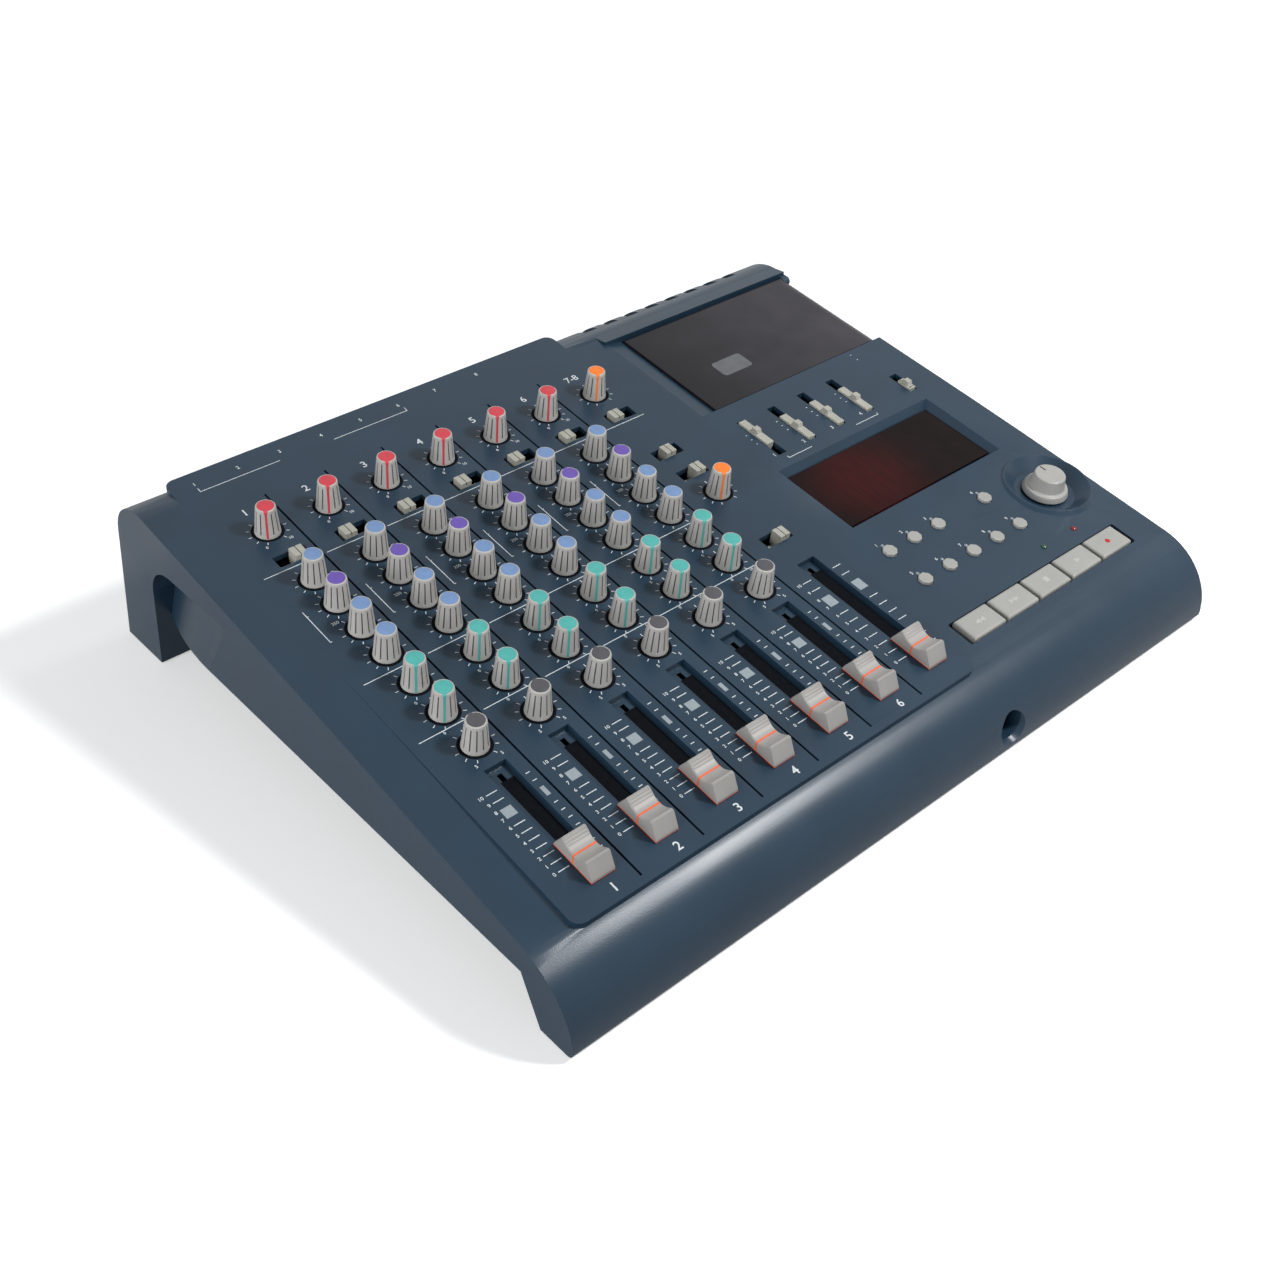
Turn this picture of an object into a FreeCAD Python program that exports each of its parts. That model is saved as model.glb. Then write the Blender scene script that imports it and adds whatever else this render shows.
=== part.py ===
"""Four track cassette recorder: a sloping desk-top mixer with a cassette deck on its right.

Millimetres.  +X is to the right, +Y to the back, +Z up.  The origin lies on the floor under the
middle of the case.  Most pieces are drawn in the panel's own frame and then laid on the slope:
there X is to the right, Y runs up the panel to the back and Z stands out of it.  That frame starts
on the trim knobs' row in the middle of the case, so a piece's row is named by how far forward of
the trim row it lies.
"""
import FreeCAD, Part
import math
import os
from FreeCAD import Vector

# ---- the case as a whole -------------------------------------------------------------------------
BODY_WIDTH = 401.0
BODY_DEPTH = 358.0
HALF_WIDTH = BODY_WIDTH / 2
HALF_DEPTH = BODY_DEPTH / 2
ACROSS = BODY_WIDTH / 401       # how far the layout is stretched with the case; 1 as built
ALONG = BODY_DEPTH / 358
WALL = 2.8                      # moulded skin
PANEL_SLOPE = 10.7              # degrees, of the mixer panel against the floor
FRONT_SLOPE = 12.0              # degrees, of the skin in front of the crown
REAR_LEAN = 18.6                # degrees, of the back against the vertical
TRIM_ROW_Y = HALF_DEPTH - 95.4 * ALONG     # where the trim knobs' row meets the panel
FRONT_RISE = 37.68              # height at which the panel's plane would meet the front
TRIM_ROW_HEIGHT = FRONT_RISE + (TRIM_ROW_Y + HALF_DEPTH) * math.tan(math.radians(PANEL_SLOPE))
CROWN_Y = -55.0 * ALONG         # where the skin starts to fall away from the panel's plane
CROWN_RADIUS = 5000.0
SHOULDER_RADIUS = 30.0 * ALONG
NOSE_RADIUS = 34.0
FOOT_RADIUS = 4.0
SOLE = 1.0                      # the rubber pads lift the case this far off the floor
BELLY_FRONT_Y = 28.7 - HALF_DEPTH
BELLY_FRONT_HEIGHT = 25.2 * min(ALONG, 1)
BELLY_RISE = 1.2               # degrees, of the underside
NOSE_FOOT_DEPTH = 19.6
LEG_WIDTH = 46.0
LEG_FRONT_Y = HALF_DEPTH - 35.5     # front face of the rear legs, on the floor
LEG_LEAN = 15.8                 # degrees, of that front face
GRIP_TOP_HEIGHT = 69.8          # hand grip scooped out of each side, ahead of the rear leg
GRIP_RADIUS = 26.0
GRIP_FRONT_Y = HALF_DEPTH - 127.0 * ALONG
GRIP_TILT = 38.5                # degrees the scoop leans forward
GRIP_CURVE = 110.0              # radius with which the side wall turns inwards
GRIP_DEPTH = 11.0

# ---- mixer panel ---------------------------------------------------------------------------------
CHANNELS = 6                    # they take half of the width between the margins
SIDE_MARGIN = 10.0
PITCH = (BODY_WIDTH - 2 * SIDE_MARGIN) / (2 * CHANNELS)
MASTER_X = 31.4 * ACROSS
TRIM = 0.0                      # rows, by their distance forward of the trim row
INPUT_SWITCH = 20.6 * ALONG
HIGH = 38.6 * ALONG
MID_FREQUENCY = HIGH + 18.4 * ALONG
MID_LEVEL = MID_FREQUENCY + 18.7 * ALONG
LOW = MID_LEVEL + 18.5 * ALONG
EFFECT_1 = LOW + 20.5 * ALONG
EFFECT_2 = EFFECT_1 + 19.8 * ALONG
PAN = EFFECT_2 + 21.7 * ALONG
FADER_TRAVEL = 45.0 * ALONG
MASTER_TRAVEL = 60.0 * ALONG
TROUGH_END = 10.8               # trough left beyond the middle of the cap at each end
FADER_ZERO = PAN + 12.8 * ALONG + TROUGH_END + FADER_TRAVEL     # middle of a cap that is pulled down
PLATEAU_LEFT = (1 - CHANNELS) * PITCH - 22.25
PLATEAU_RIGHT = MASTER_X + 13.5
PLATEAU_FRONT = FADER_ZERO + 23.0
PLATEAU_BACK = 54.8 * ALONG     # the tab over the jacks overhangs the shoulder
PLATEAU_CORNER = 5.0
TAB_THICKNESS = 4.0
GROOVE_WIDTH = 1.0
GROOVE_DEPTH = 0.8
GROOVE_OFFSET = 12.1            # from a channel's middle to the groove on its right
GROOVE_BACK = -23.0 * ALONG
GROOVE_FRONT = FADER_ZERO + 19.2

# ---- rotary controls -----------------------------------------------------------------------------
KNOB_RADIUS = 5.95
KNOB_TOP_RADIUS = 4.45
KNOB_HEIGHT = 14.9              # above the panel
KNOB_FLUTES = 6
KNOB_FLUTE_DEPTH = 0.45
KNOB_HOLE_GAP = 0.9             # dark ring round each knob
KNOB_SUNK = 1.2                 # the skirt reaches below the panel
KNOB_BORE_DEPTH = 10.0
SHAFT_RADIUS = 3.0
RUNNING_CLEARANCE = 0.05
POT_SIZE = 10.0
BOARD_TOP = -14.6               # upper face of the circuit boards, under the panel's plane
BOARD_THICKNESS = 1.2
UNIT_TOP = -7.2                 # top of the pots, switches and fader bodies
PITCH_KNOB_X = HALF_WIDTH - 23.7
PITCH_DISH_RADIUS = 21.5
PITCH_DISH_DEPTH = 4.5
PITCH_RIM_RISE = 1.6
PITCH_FLANGE_RADIUS = 12.0
PITCH_CAP_RADIUS = 9.0
PITCH_FLANGE_HEIGHT = 3.6
PITCH_CAP_HEIGHT = 7.2

# ---- faders --------------------------------------------------------------------------------------
TROUGH_WIDTH = 10.8
TROUGH_DEPTH = 3.0
FADER_SLOT_WIDTH = 2.4
CAP_LENGTH = 23.0
CAP_WIDTH = 11.4
CAP_TOP_LENGTH = 15.0
CAP_HEIGHT = 8.6
CAP_WAIST = 5.4                 # height of the saddle's middle
CAP_LIFT = 0.3                  # under the cap
LEVER_THICKNESS = 1.2
LEVER_LENGTH = 5.0
LEVER_WAY = 0.4                 # play of the lever in its unit, both sides together
LEVER_FOOT = -12.0
FADER_BODY_WIDTH = 9.0

# ---- slide switches ------------------------------------------------------------------------------
SWITCH_WINDOW = (16.0, 7.6)     # across and along the panel
SWITCH_CAP = (6.2, 6.4)
SWITCH_CAP_RISE = 2.4
SWITCH_CAP_NOTCH = (0.4, 0.2)   # width and foot of the notch between a cap's two humps
SWITCH_PLATE_TOP = -4.6         # low plate on which a cap stands, across its window
SWITCH_PLATE_REACH = 1.0
SWITCH_SIDE_GAP = 0.3
SWITCH_SHIFT = 3.0              # of a cap that is thrown to either side
SWITCH_THROWS = (1, -1, -1, -1, -1, -1, -1, 0, 1, 1)
FUNCTION_PITCH = 21.8 * ACROSS
FUNCTION_COUNT = 4
FUNCTION_BAR = (4.6, 21.4)
FUNCTION_TRAVEL = 8.0
FUNCTION_END_GAP = 1.0
SPEED_X = HALF_WIDTH - 21.5
SPEED_BAR = (4.6, 9.0)
SPEED_TRAVEL = 5.0
SLOT_WIDTH = 5.4
FUNCTION_SLOT = (SLOT_WIDTH, FUNCTION_BAR[1] + FUNCTION_TRAVEL + 2 * FUNCTION_END_GAP)
SPEED_SLOT = (SLOT_WIDTH, SPEED_BAR[1] + SPEED_TRAVEL + 2 * FUNCTION_END_GAP)
BAR_RISE = 1.0
NUB_LENGTH = 6.0
NUB_RISE = 3.4

# ---- cassette deck -------------------------------------------------------------------------------
BAY_WIDTH = 124.8 * ACROSS
BAY_LENGTH = 76.1
BAY_LEFT = HALF_WIDTH - BAY_WIDTH
BAY_BACK = 31.0 * ALONG
BAY_FRONT = BAY_BACK - BAY_LENGTH
BAY_RAMP = 9.6                  # sloping margin on the bay's left
BAY_RAMP_DROP = 1.6
STRIP_LEFT = BAY_LEFT - 11.1    # raised bar behind the lid
STRIP_BACK = BAY_BACK + 15.0
STRIP_RISE = 1.8                # of its front edge; the rear edge runs out in the shoulder
STRIP_DROP = 1.4
STRIP_CORNER = 9.0
STRIP_INSET = 0.5               # from the case's right side
LID_GAP = 0.4
LID_SKIN = 2.2
LID_SKIRT = 5.0
LID_WRAP = 12.0                 # the lid turns down over the right side
LID_CORNER = 8.0
LUG_WIDTH = 4.5                 # of the case's knuckle to the right of the lid
HINGE_RADIUS = 2.5
HINGE_PIN_RADIUS = 1.0
HINGE_PIN_REACH = 3.0
DECK_FLOOR = -16.0
DECK_PLATE = 1.6
DECK_FRONT = BAY_FRONT - 9.9
DECK_BACK = BAY_BACK + 3.6
DECK_LEFT = BAY_LEFT - 5.2
DECK_RIGHT = HALF_WIDTH - 10.5  # clear of the grip scoop
DECK_LEDGE = 3.7                # flange beyond the right wall
DECK_WALL = 1.5
CASSETTE = (100.4, 63.8, 12.0)
CASSETTE_FRONT = BAY_FRONT + 7.1
HUB_SPACING = 42.5
HUB_SETBACK = 35.3
CAPSTAN_OFFSET = 33.5
CAPSTAN_SETBACK = 7.0
CAPSTAN_RADIUS = 1.5
FLYWHEEL_RADIUS = 19.5 * ACROSS
FLYWHEEL_TOP = -29.0
FLYWHEEL_THICKNESS = 6.0
BEARING_RADIUS = 4.0
SPINDLE_RADIUS = 3.0
SPINDLE_SPLINE = 4.2
SPINDLE_TOP = -7.0
SPINDLE_TABLE = 8.5
SPINDLE_SHAFT = 1.5
PINCH_RADIUS = 6.5
PINCH_AXLE = 1.2
PINCH_HEIGHT = 8.0
AXLE_TOP = 0.8                  # of the roller's axle, above a roller that lies on the plate
HEAD_TRAVEL = 6.0
PINCH_GAP = 0.1                 # left between roller and capstan, the tape's place
HEAD_WIDTH = 12.6
HEAD_HEIGHT = 8.6
ERASE_HEAD = (-28.0, -20.0)     # its sides, from the cassette's middle
ERASE_HEIGHT = 7.5
CARRIAGE_LEFT = -33.0           # of the head carriage, from the cassette's middle
MOTOR_X = BAY_LEFT + 21.3
MOTOR_Y = BAY_BACK - 13.0
MOTOR_RADIUS = 14.0
MOTOR_HEIGHT = 9.5
PULLEY_RADIUS = 4.0
BELT_THICKNESS = 0.9
BELT_HEIGHT = 2.4
BELT_STEPS = 8                  # chords on each half of the belt's turn round the flywheel
SEAT_GAP = 0.3

# ---- display, buttons and keys -------------------------------------------------------------------
FUNCTION_X = BAY_LEFT + 4.1     # record function switch of track 1
FUNCTION_BACK = 3.8 - DECK_FRONT
SPEED_BACK = FUNCTION_BACK + 15.6
DISPLAY_LEFT = BAY_LEFT - 8.1
DISPLAY_RIGHT = HALF_WIDTH - 21.7
DISPLAY_BACK = FUNCTION_BACK + FUNCTION_SLOT[1] + 9.1
DISPLAY_FRONT = DISPLAY_BACK + 51.5 * ALONG
DISPLAY_TAPER = 3.4
DISPLAY_DEPTH = 5.0
LENS_THICKNESS = 1.5
LENS_LEDGE = 2.0
METERS = 6
BUTTON_RADIUS = 3.5
BUTTON_SIDES = 8
BUTTON_GAP = 0.3
BUTTON_RISE = 1.4
BUTTON_TRAVEL = 1.0
BUTTON_X = DISPLAY_LEFT + 2.8
BUTTON_PITCH = 17.5 * ACROSS
BUTTON_UPPER = DISPLAY_FRONT + 21.4 * ALONG
BUTTON_LOWER = BUTTON_UPPER + 22.8 * ALONG
BUTTON_ROWS = {"upper": (BUTTON_UPPER, (0, 1, 2, 4)), "lower": (BUTTON_LOWER, (0, 1, 2, 3, 4))}
BUTTON_FLANGE = 1.2
KEY_NAMES = ("rewind", "fast_forward", "stop", "play", "record")
KEY_RECESS_LEFT = PLATEAU_RIGHT + 11.3
KEY_MARGIN = 13.9               # from the middle of an end key to the end of the recess
KEY_X = KEY_RECESS_LEFT + KEY_MARGIN
KEY_PITCH = 24.2 * ACROSS
KEY_RECESS_RIGHT = KEY_X + (len(KEY_NAMES) - 1) * KEY_PITCH + KEY_MARGIN
KEY_WIDTH = KEY_PITCH - 2.0
KEY_DEPTH = 13.6
KEY_BACK = BUTTON_LOWER + 26.8 * ALONG
KEY_FRONT = KEY_BACK + KEY_DEPTH
PITCH_KNOB_ROW = BUTTON_UPPER + 11.0
KEY_HEIGHT = 7.2
KEY_BEVEL = 0.8
KEY_RISE = 1.2
KEY_STEM = 5.0
KEY_STEM_GAP = 0.3
KEY_TRAVEL = 2.5
KEY_GAP = 0.6                   # between a key and the edge of its recess
LED_ROW = KEY_BACK - 9.2
LED_X = (KEY_X + 67.4 * ACROSS, KEY_X + 91.1 * ACROSS)
LED_RADIUS = 1.4

# ---- sockets and fixings -------------------------------------------------------------------------
JACK_WALL = 46.0 * ALONG        # rear face of the wall that holds the jacks
JACK_BAY_FLOOR = -46.0
JACK_ROWS = ((-15.5, (1, 2, 3, 4, 5, 6)), (-34.0, (3, 4, 5, 6)))
JACK_BODY = (14.0, 26.0, 14.0)
JACK_BORE = 3.2
JACK_BORE_DEPTH = 24.0
JACK_HOLE = 4.2                 # in the case wall in front of the socket
PHONES_X = PLATEAU_RIGHT + 6.8
PHONES_HEIGHT = 15.0
PHONES_DISH_RADIUS = 7.2
PHONES_DISH_FLARE = 2.4
PHONES_DISH_BACK = 11.0 - HALF_DEPTH
INLET_X = BAY_LEFT + 28.3
INLET_HEIGHT = 52.0
INLET_SIZE = 13.0
INLET_DEPTH = 12.0
INLET_BORE = 2.9
INLET_PIN = 1.0
VENTS = 8
VENT_PITCH = 15.0 * ACROSS
VENT_WIDTH = 8.0
VENT_X = BAY_LEFT - 5.7
VENT_FRONT_Y = HALF_DEPTH - 47.0
SCREW_RADIUS = 1.5
SCREW_LENGTH = 9.0
BOSS_RADIUS = 4.0
POST_RADIUS = 2.6
MIXER_BOARD_RIGHT = MASTER_X + 13.0
CONTROL_BOARD_LEFT = BUTTON_X - 11.7
SCREW_PLACES = ((13.5 - HALF_WIDTH, 61.0 - HALF_DEPTH),
                ((MIXER_BOARD_RIGHT + CONTROL_BOARD_LEFT) / 2, 61.0 - HALF_DEPTH),
                (HALF_WIDTH - 9.0, TRIM_ROW_Y - PITCH_KNOB_ROW - 22.4),
                ((1.5 - CHANNELS) * PITCH, TRIM_ROW_Y + 18.4), (PLATEAU_RIGHT + 15.1, HALF_DEPTH - 57.0))
PAD_SIZE = (22.0, 11.0)
PAD_THICKNESS = 2.0
FRONT_PAD_X = HALF_WIDTH - 50.5
PAN_THICKNESS = 2.0
PAN_LIFT = 0.5                  # the pan sits this far inside the side walls' lower edges
PAN_GAP = 0.3
NOSE_RIBS = (-120.0 * ACROSS, -30.0 * ACROSS, 110.0 * ACROSS)
RIB_THICKNESS = 2.0
RIB_DEPTH = 11.0 * ALONG         # from the front

SLOPE = math.radians(PANEL_SLOPE)
FALL = math.radians(FRONT_SLOPE - PANEL_SLOPE)
PANEL = FreeCAD.Placement(Vector(0, TRIM_ROW_Y, TRIM_ROW_HEIGHT),
                          FreeCAD.Rotation(Vector(1, 0, 0), PANEL_SLOPE))


# ---- drawing helpers -----------------------------------------------------------------------------
def box(x, y, z):
    """Block between the pairs of limits x, y and z."""
    return Part.makeBox(x[1] - x[0], y[1] - y[0], z[1] - z[0], Vector(x[0], y[0], z[0]))


def block(x, y, size, z):
    """Block with a footprint of size (across, along) about (x, y), between the heights z."""
    return box((x - size[0] / 2, x + size[0] / 2), (y - size[1] / 2, y + size[1] / 2), z)


def disc(x, y, radius, z):
    """Upright round between the heights z."""
    return Part.makeCylinder(radius, z[1] - z[0], Vector(x, y, z[0]))


def prism(x, y, radius, z, sides=8):
    """Upright polygon whose flats touch a round of this radius, for rounds that repeat often."""
    corner = radius / math.cos(math.pi / sides)
    turn = math.pi / sides
    points = [Vector(x + corner * math.cos(turn + 2 * math.pi * i / sides),
                     y + corner * math.sin(turn + 2 * math.pi * i / sides), z[0]) for i in range(sides)]
    return Part.Face(Part.makePolygon(points + points[:1])).extrude(Vector(0, 0, z[1] - z[0]))


def peg(x, y, radius, z, sides=8):
    """Upright polygon whose corners lie on a round of this radius, to go into such a hole."""
    return prism(x, y, radius * math.cos(math.pi / sides), z, sides)


def round_along(axis, start, radius, length):
    """Round bar of a given length from start along axis."""
    return Part.makeCylinder(radius, length, start, axis)


def rounded_wire(corners, place):
    """Closed wire through corners (a, b, radius), each turned with a tangent arc."""
    edges = []
    ends = []
    for i, (a, b, radius) in enumerate(corners):
        here = Vector(a, b, 0)
        back = Vector(*corners[i - 1][:2], 0) - here
        ahead = Vector(*corners[(i + 1) % len(corners)][:2], 0) - here
        back.normalize()
        ahead.normalize()
        half = back.getAngle(ahead) / 2
        reach = radius / math.tan(half)
        inward = back + ahead
        if radius > 0:
            inward.normalize()
            crown = here + inward * (radius / math.sin(half) - radius)
            start = here + back * reach
            end = here + ahead * reach
            edges.append(Part.Arc(place(start), place(crown), place(end)).toShape())
            ends.append((start, end))
        else:
            edges.append(None)
            ends.append((here, here))
    wire = []
    for i in range(len(corners)):
        if edges[i]:
            wire.append(edges[i])
        start = place(ends[i][1])
        end = place(ends[(i + 1) % len(corners)][0])
        if start.distanceToPoint(end) > 1e-6:
            wire.append(Part.LineSegment(start, end).toShape())
    return Part.Wire(wire)


def across(corners, x):
    """Solid with a side outline of corners (y, z, radius), between the two limits x."""
    wire = rounded_wire(corners, lambda p: Vector(x[0], p.x, p.y))
    return Part.Face(wire).extrude(Vector(x[1] - x[0], 0, 0))


def slab(x, y, z, radius):
    """Flat slab with rounded corners in plan, between the pairs of limits x, y and z."""
    corners = [(x[0], y[0], radius), (x[1], y[0], radius), (x[1], y[1], radius), (x[0], y[1], radius)]
    wire = rounded_wire(corners, lambda p: Vector(p.x, p.y, z[0]))
    return Part.Face(wire).extrude(Vector(0, 0, z[1] - z[0]))


def inset(corners, distance):
    """The same outline moved inwards, its corners listed anticlockwise."""
    lines = []
    for i, corner in enumerate(corners):
        start = Vector(*corner[:2], 0)
        along = Vector(*corners[(i + 1) % len(corners)][:2], 0) - start
        along.normalize()
        lines.append((start + Vector(-along.y, along.x, 0) * distance, along))
    moved = []
    for i, corner in enumerate(corners):
        (p, u), (q, v) = lines[i - 1], lines[i]
        turn = u.x * v.y - u.y * v.x
        run = ((q.x - p.x) * v.y - (q.y - p.y) * v.x) / turn
        moved.append((p.x + u.x * run, p.y + u.y * run, max(corner[2] - distance, 0)))
    return moved


def sheet_outline(points, thickness):
    """Closed outline of a bent sheet: one face follows points, the other lies to their right."""
    sides = []
    for (a, b), (c, d) in zip(points[:-1], points[1:]):
        along = Vector(c - a, d - b, 0)
        along.normalize()
        sides.append(Vector(along.y, -along.x, 0) * thickness)
    far = [Vector(*points[0], 0) + sides[0]]
    for corner, before, after in zip(points[1:-1], sides[:-1], sides[1:]):
        mitre = (before + after) * (thickness ** 2 / (thickness ** 2 + before.dot(after)))
        far.append(Vector(*corner, 0) + mitre)
    far.append(Vector(*points[-1], 0) + sides[-1])
    return [(a, b, 0) for a, b in points] + [(p.x, p.y, 0) for p in reversed(far)]


def ring_points(radii, z):
    """Corners of a star or polygon about the Z axis, one for each radius."""
    step = 2 * math.pi / len(radii)
    return [Vector(r * math.cos(i * step), r * math.sin(i * step), z) for i, r in enumerate(radii)]


def tapered(low, high):
    """Solid between two rings with the same number of corners."""
    faces = [Part.Face(Part.makePolygon(low + low[:1])), Part.Face(Part.makePolygon(high + high[:1]))]
    for i in range(len(low)):
        j = (i + 1) % len(low)
        faces.append(Part.Face(Part.makePolygon([low[i], low[j], high[j], high[i], low[i]])))
    return Part.Solid(Part.Shell(faces))


def moved(shape, x, y, z=0.0):
    """Copy of a shape, shifted."""
    copy = shape.copy()
    copy.translate(Vector(x, y, z))
    return copy


def sideways(shape, x, y, z):
    """Upright shape laid down along +X, its foot at (x, y, z)."""
    laid = shape.copy()
    laid.rotate(Vector(0, 0, 0), Vector(0, 1, 0), 90)
    return moved(laid, x, y, z)


def on_panel(shape):
    """Shape drawn in the panel's frame, laid on the slope."""
    laid = shape.copy()
    laid.Placement = PANEL.multiply(laid.Placement)
    return laid


def save(name, *solids):
    """Write one sub-part, or a group of like ones."""
    shape = solids[0] if len(solids) == 1 else Part.makeCompound(list(solids))
    shape.exportStep("parts/" + name + ".step")


# ---- places worked out from the driving dimensions -----------------------------------------------
def channel_x(channel):
    """Middle of a channel, counted from 1."""
    return (channel - CHANNELS) * PITCH


def skin(row):
    """Height of the case's outer skin at a row, measured from the panel's plane."""
    past = row - (TRIM_ROW_Y - CROWN_Y) / math.cos(SLOPE)
    reach = CROWN_RADIUS * math.tan(FALL / 2)
    if past > reach:
        return -past * math.tan(FALL)
    return -max(past + reach, 0) ** 2 / (2 * CROWN_RADIUS)


def belly(y):
    """Height of the side walls' lower edge."""
    return BELLY_FRONT_HEIGHT + (y - BELLY_FRONT_Y) * math.tan(math.radians(BELLY_RISE))


def back_y(z):
    """Where the leaning back is at a height."""
    return HALF_DEPTH - z * math.tan(math.radians(REAR_LEAN))


def leg_y(z):
    """Where the rear legs' front face is at a height."""
    return LEG_FRONT_Y - z * math.tan(math.radians(LEG_LEAN))


def top_corners():
    """Shoulder, crown and nose of the side outline."""
    rise = math.tan(SLOPE)
    lean = math.tan(math.radians(REAR_LEAN))
    shoulder = (TRIM_ROW_HEIGHT + (HALF_DEPTH - TRIM_ROW_Y) * rise) / (1 + rise * lean)
    crown = TRIM_ROW_HEIGHT + (CROWN_Y - TRIM_ROW_Y) * rise
    nose = crown - (CROWN_Y + HALF_DEPTH) * math.tan(math.radians(FRONT_SLOPE))
    return [(back_y(shoulder), shoulder, SHOULDER_RADIUS), (CROWN_Y, crown, CROWN_RADIUS),
            (-HALF_DEPTH, nose, NOSE_RADIUS)]


def knob_places():
    """(x, row) of every rotary control of the mixer, by channel; the last two are the masters'."""
    rows = (TRIM, HIGH, MID_FREQUENCY, MID_LEVEL, LOW, EFFECT_1, EFFECT_2, PAN)
    places = [[(channel_x(c), row) for row in rows] for c in range(1, CHANNELS + 1)]
    return places + [[(MASTER_X, TRIM), (MASTER_X, LOW)]]


def switch_places():
    """(x, row) of the mixer's slide switches."""
    places = [(channel_x(c), INPUT_SWITCH) for c in range(1, CHANNELS + 1)]
    return places + [(MASTER_X, row) for row in (INPUT_SWITCH, MID_FREQUENCY, MID_LEVEL, EFFECT_2)]


def fader_places():
    """(x, travel) of the channel faders and the master."""
    return [(channel_x(c), FADER_TRAVEL) for c in range(1, CHANNELS + 1)] + [(MASTER_X, MASTER_TRAVEL)]


def button_places():
    """(x, row) of the round locate and display buttons."""
    return [(BUTTON_X + k * BUTTON_PITCH, row) for row, columns in BUTTON_ROWS.values() for k in columns]


def key_places():
    """Middle of each transport key across the panel."""
    return [KEY_X + k * KEY_PITCH for k in range(len(KEY_NAMES))]


def slot_places():
    """(x, back row, slot, bar) of the long slide switches of the recorder."""
    places = [(FUNCTION_X + k * FUNCTION_PITCH, FUNCTION_BACK, FUNCTION_SLOT, FUNCTION_BAR)
              for k in range(FUNCTION_COUNT)]
    return places + [(SPEED_X, SPEED_BACK, SPEED_SLOT, SPEED_BAR)]


def deck_middle():
    """Middle of the cassette across the panel."""
    return (BAY_LEFT + HALF_WIDTH) / 2


def hub_places():
    """The supply and take-up hubs."""
    y = CASSETTE_FRONT + HUB_SETBACK
    return [(deck_middle() - HUB_SPACING / 2, y), (deck_middle() + HUB_SPACING / 2, y)]


def capstan_place():
    """The capstan, in its hole of the cassette."""
    return deck_middle() + CAPSTAN_OFFSET, CASSETTE_FRONT + CAPSTAN_SETBACK


def hinge_y():
    """The lid's hinge line, up the panel."""
    return BAY_BACK - SEAT_GAP - HINGE_RADIUS


def hinge_z():
    """The lid's hinge line, under the panel's plane."""
    return -HINGE_RADIUS - 0.1


# ---- upper case ----------------------------------------------------------------------------------
def side_outline():
    """Whole side of the case: rear leg, back, top, nose and the nose's foot."""
    foot_y = BELLY_FRONT_Y - (NOSE_FOOT_DEPTH - WALL) * 0.55
    belly_end = belly(LEG_FRONT_Y)
    return ([(back_y(SOLE), SOLE, 0)] + top_corners()
            + [(-HALF_DEPTH, SOLE, FOOT_RADIUS), (foot_y, SOLE, 0), (BELLY_FRONT_Y, BELLY_FRONT_HEIGHT, 0),
               (leg_y(belly_end), belly_end, 0), (leg_y(SOLE), SOLE, 0)])


def grip_scoop(growth):
    """Hollow for the fingers in the left side; growth makes the same form with thicker walls."""
    tilt = math.radians(GRIP_TILT)
    top = GRIP_TOP_HEIGHT + growth
    rear = leg_y(top) + growth
    window = across([(GRIP_FRONT_Y - 30, top, 0), (GRIP_FRONT_Y - 30, -20, 0),
                     (leg_y(-20) + growth, -20, 0), (rear, top, GRIP_RADIUS + growth)],
                    (-HALF_WIDTH - 1, -HALF_WIDTH + GRIP_DEPTH + growth))
    radius = GRIP_CURVE - growth
    axis = Vector(0, math.sin(tilt), -math.cos(tilt))
    start = Vector(-HALF_WIDTH + GRIP_CURVE, GRIP_FRONT_Y, GRIP_TOP_HEIGHT)
    side = Part.makeCylinder(radius, 4 * GRIP_CURVE, start - axis * (2 * GRIP_CURVE), axis)
    ahead = box((-HALF_WIDTH - 2, 0), (-GRIP_CURVE, 0), (-2 * GRIP_CURVE, 2 * GRIP_CURVE))
    ahead.rotate(Vector(0, 0, 0), Vector(1, 0, 0), GRIP_TILT)
    ahead.translate(Vector(0, GRIP_FRONT_Y, GRIP_TOP_HEIGHT))
    return window.cut([side, ahead])


def mirrored(shape):
    """The same form on the right side."""
    return shape.mirror(Vector(0, 0, 0), Vector(1, 0, 0))


def case_body():
    """Outer form of the case before it is hollowed."""
    body = across(side_outline(), (-HALF_WIDTH, HALF_WIDTH))
    between = HALF_WIDTH - LEG_WIDTH
    low = belly(LEG_FRONT_Y) - PAN_LIFT
    body = body.cut(box((-between, between), (leg_y(low) - 20, HALF_DEPTH + 5), (-5, low)))
    plateau = slab((PLATEAU_LEFT, PLATEAU_RIGHT), (-PLATEAU_FRONT, PLATEAU_BACK),
                   (-TAB_THICKNESS, 0), PLATEAU_CORNER)
    strip = name_strip()
    rim = Part.makeCone(PITCH_DISH_RADIUS + 4, PITCH_DISH_RADIUS + 1, PITCH_RIM_RISE + 2,
                        Vector(PITCH_KNOB_X, -PITCH_KNOB_ROW, skin(PITCH_KNOB_ROW) - 2))
    added = [on_panel(plateau), on_panel(strip), on_panel(rim)]
    body = body.fuse(added)
    return body.common(box((-HALF_WIDTH, HALF_WIDTH), (-HALF_DEPTH, HALF_DEPTH), (0, 200)))


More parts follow.
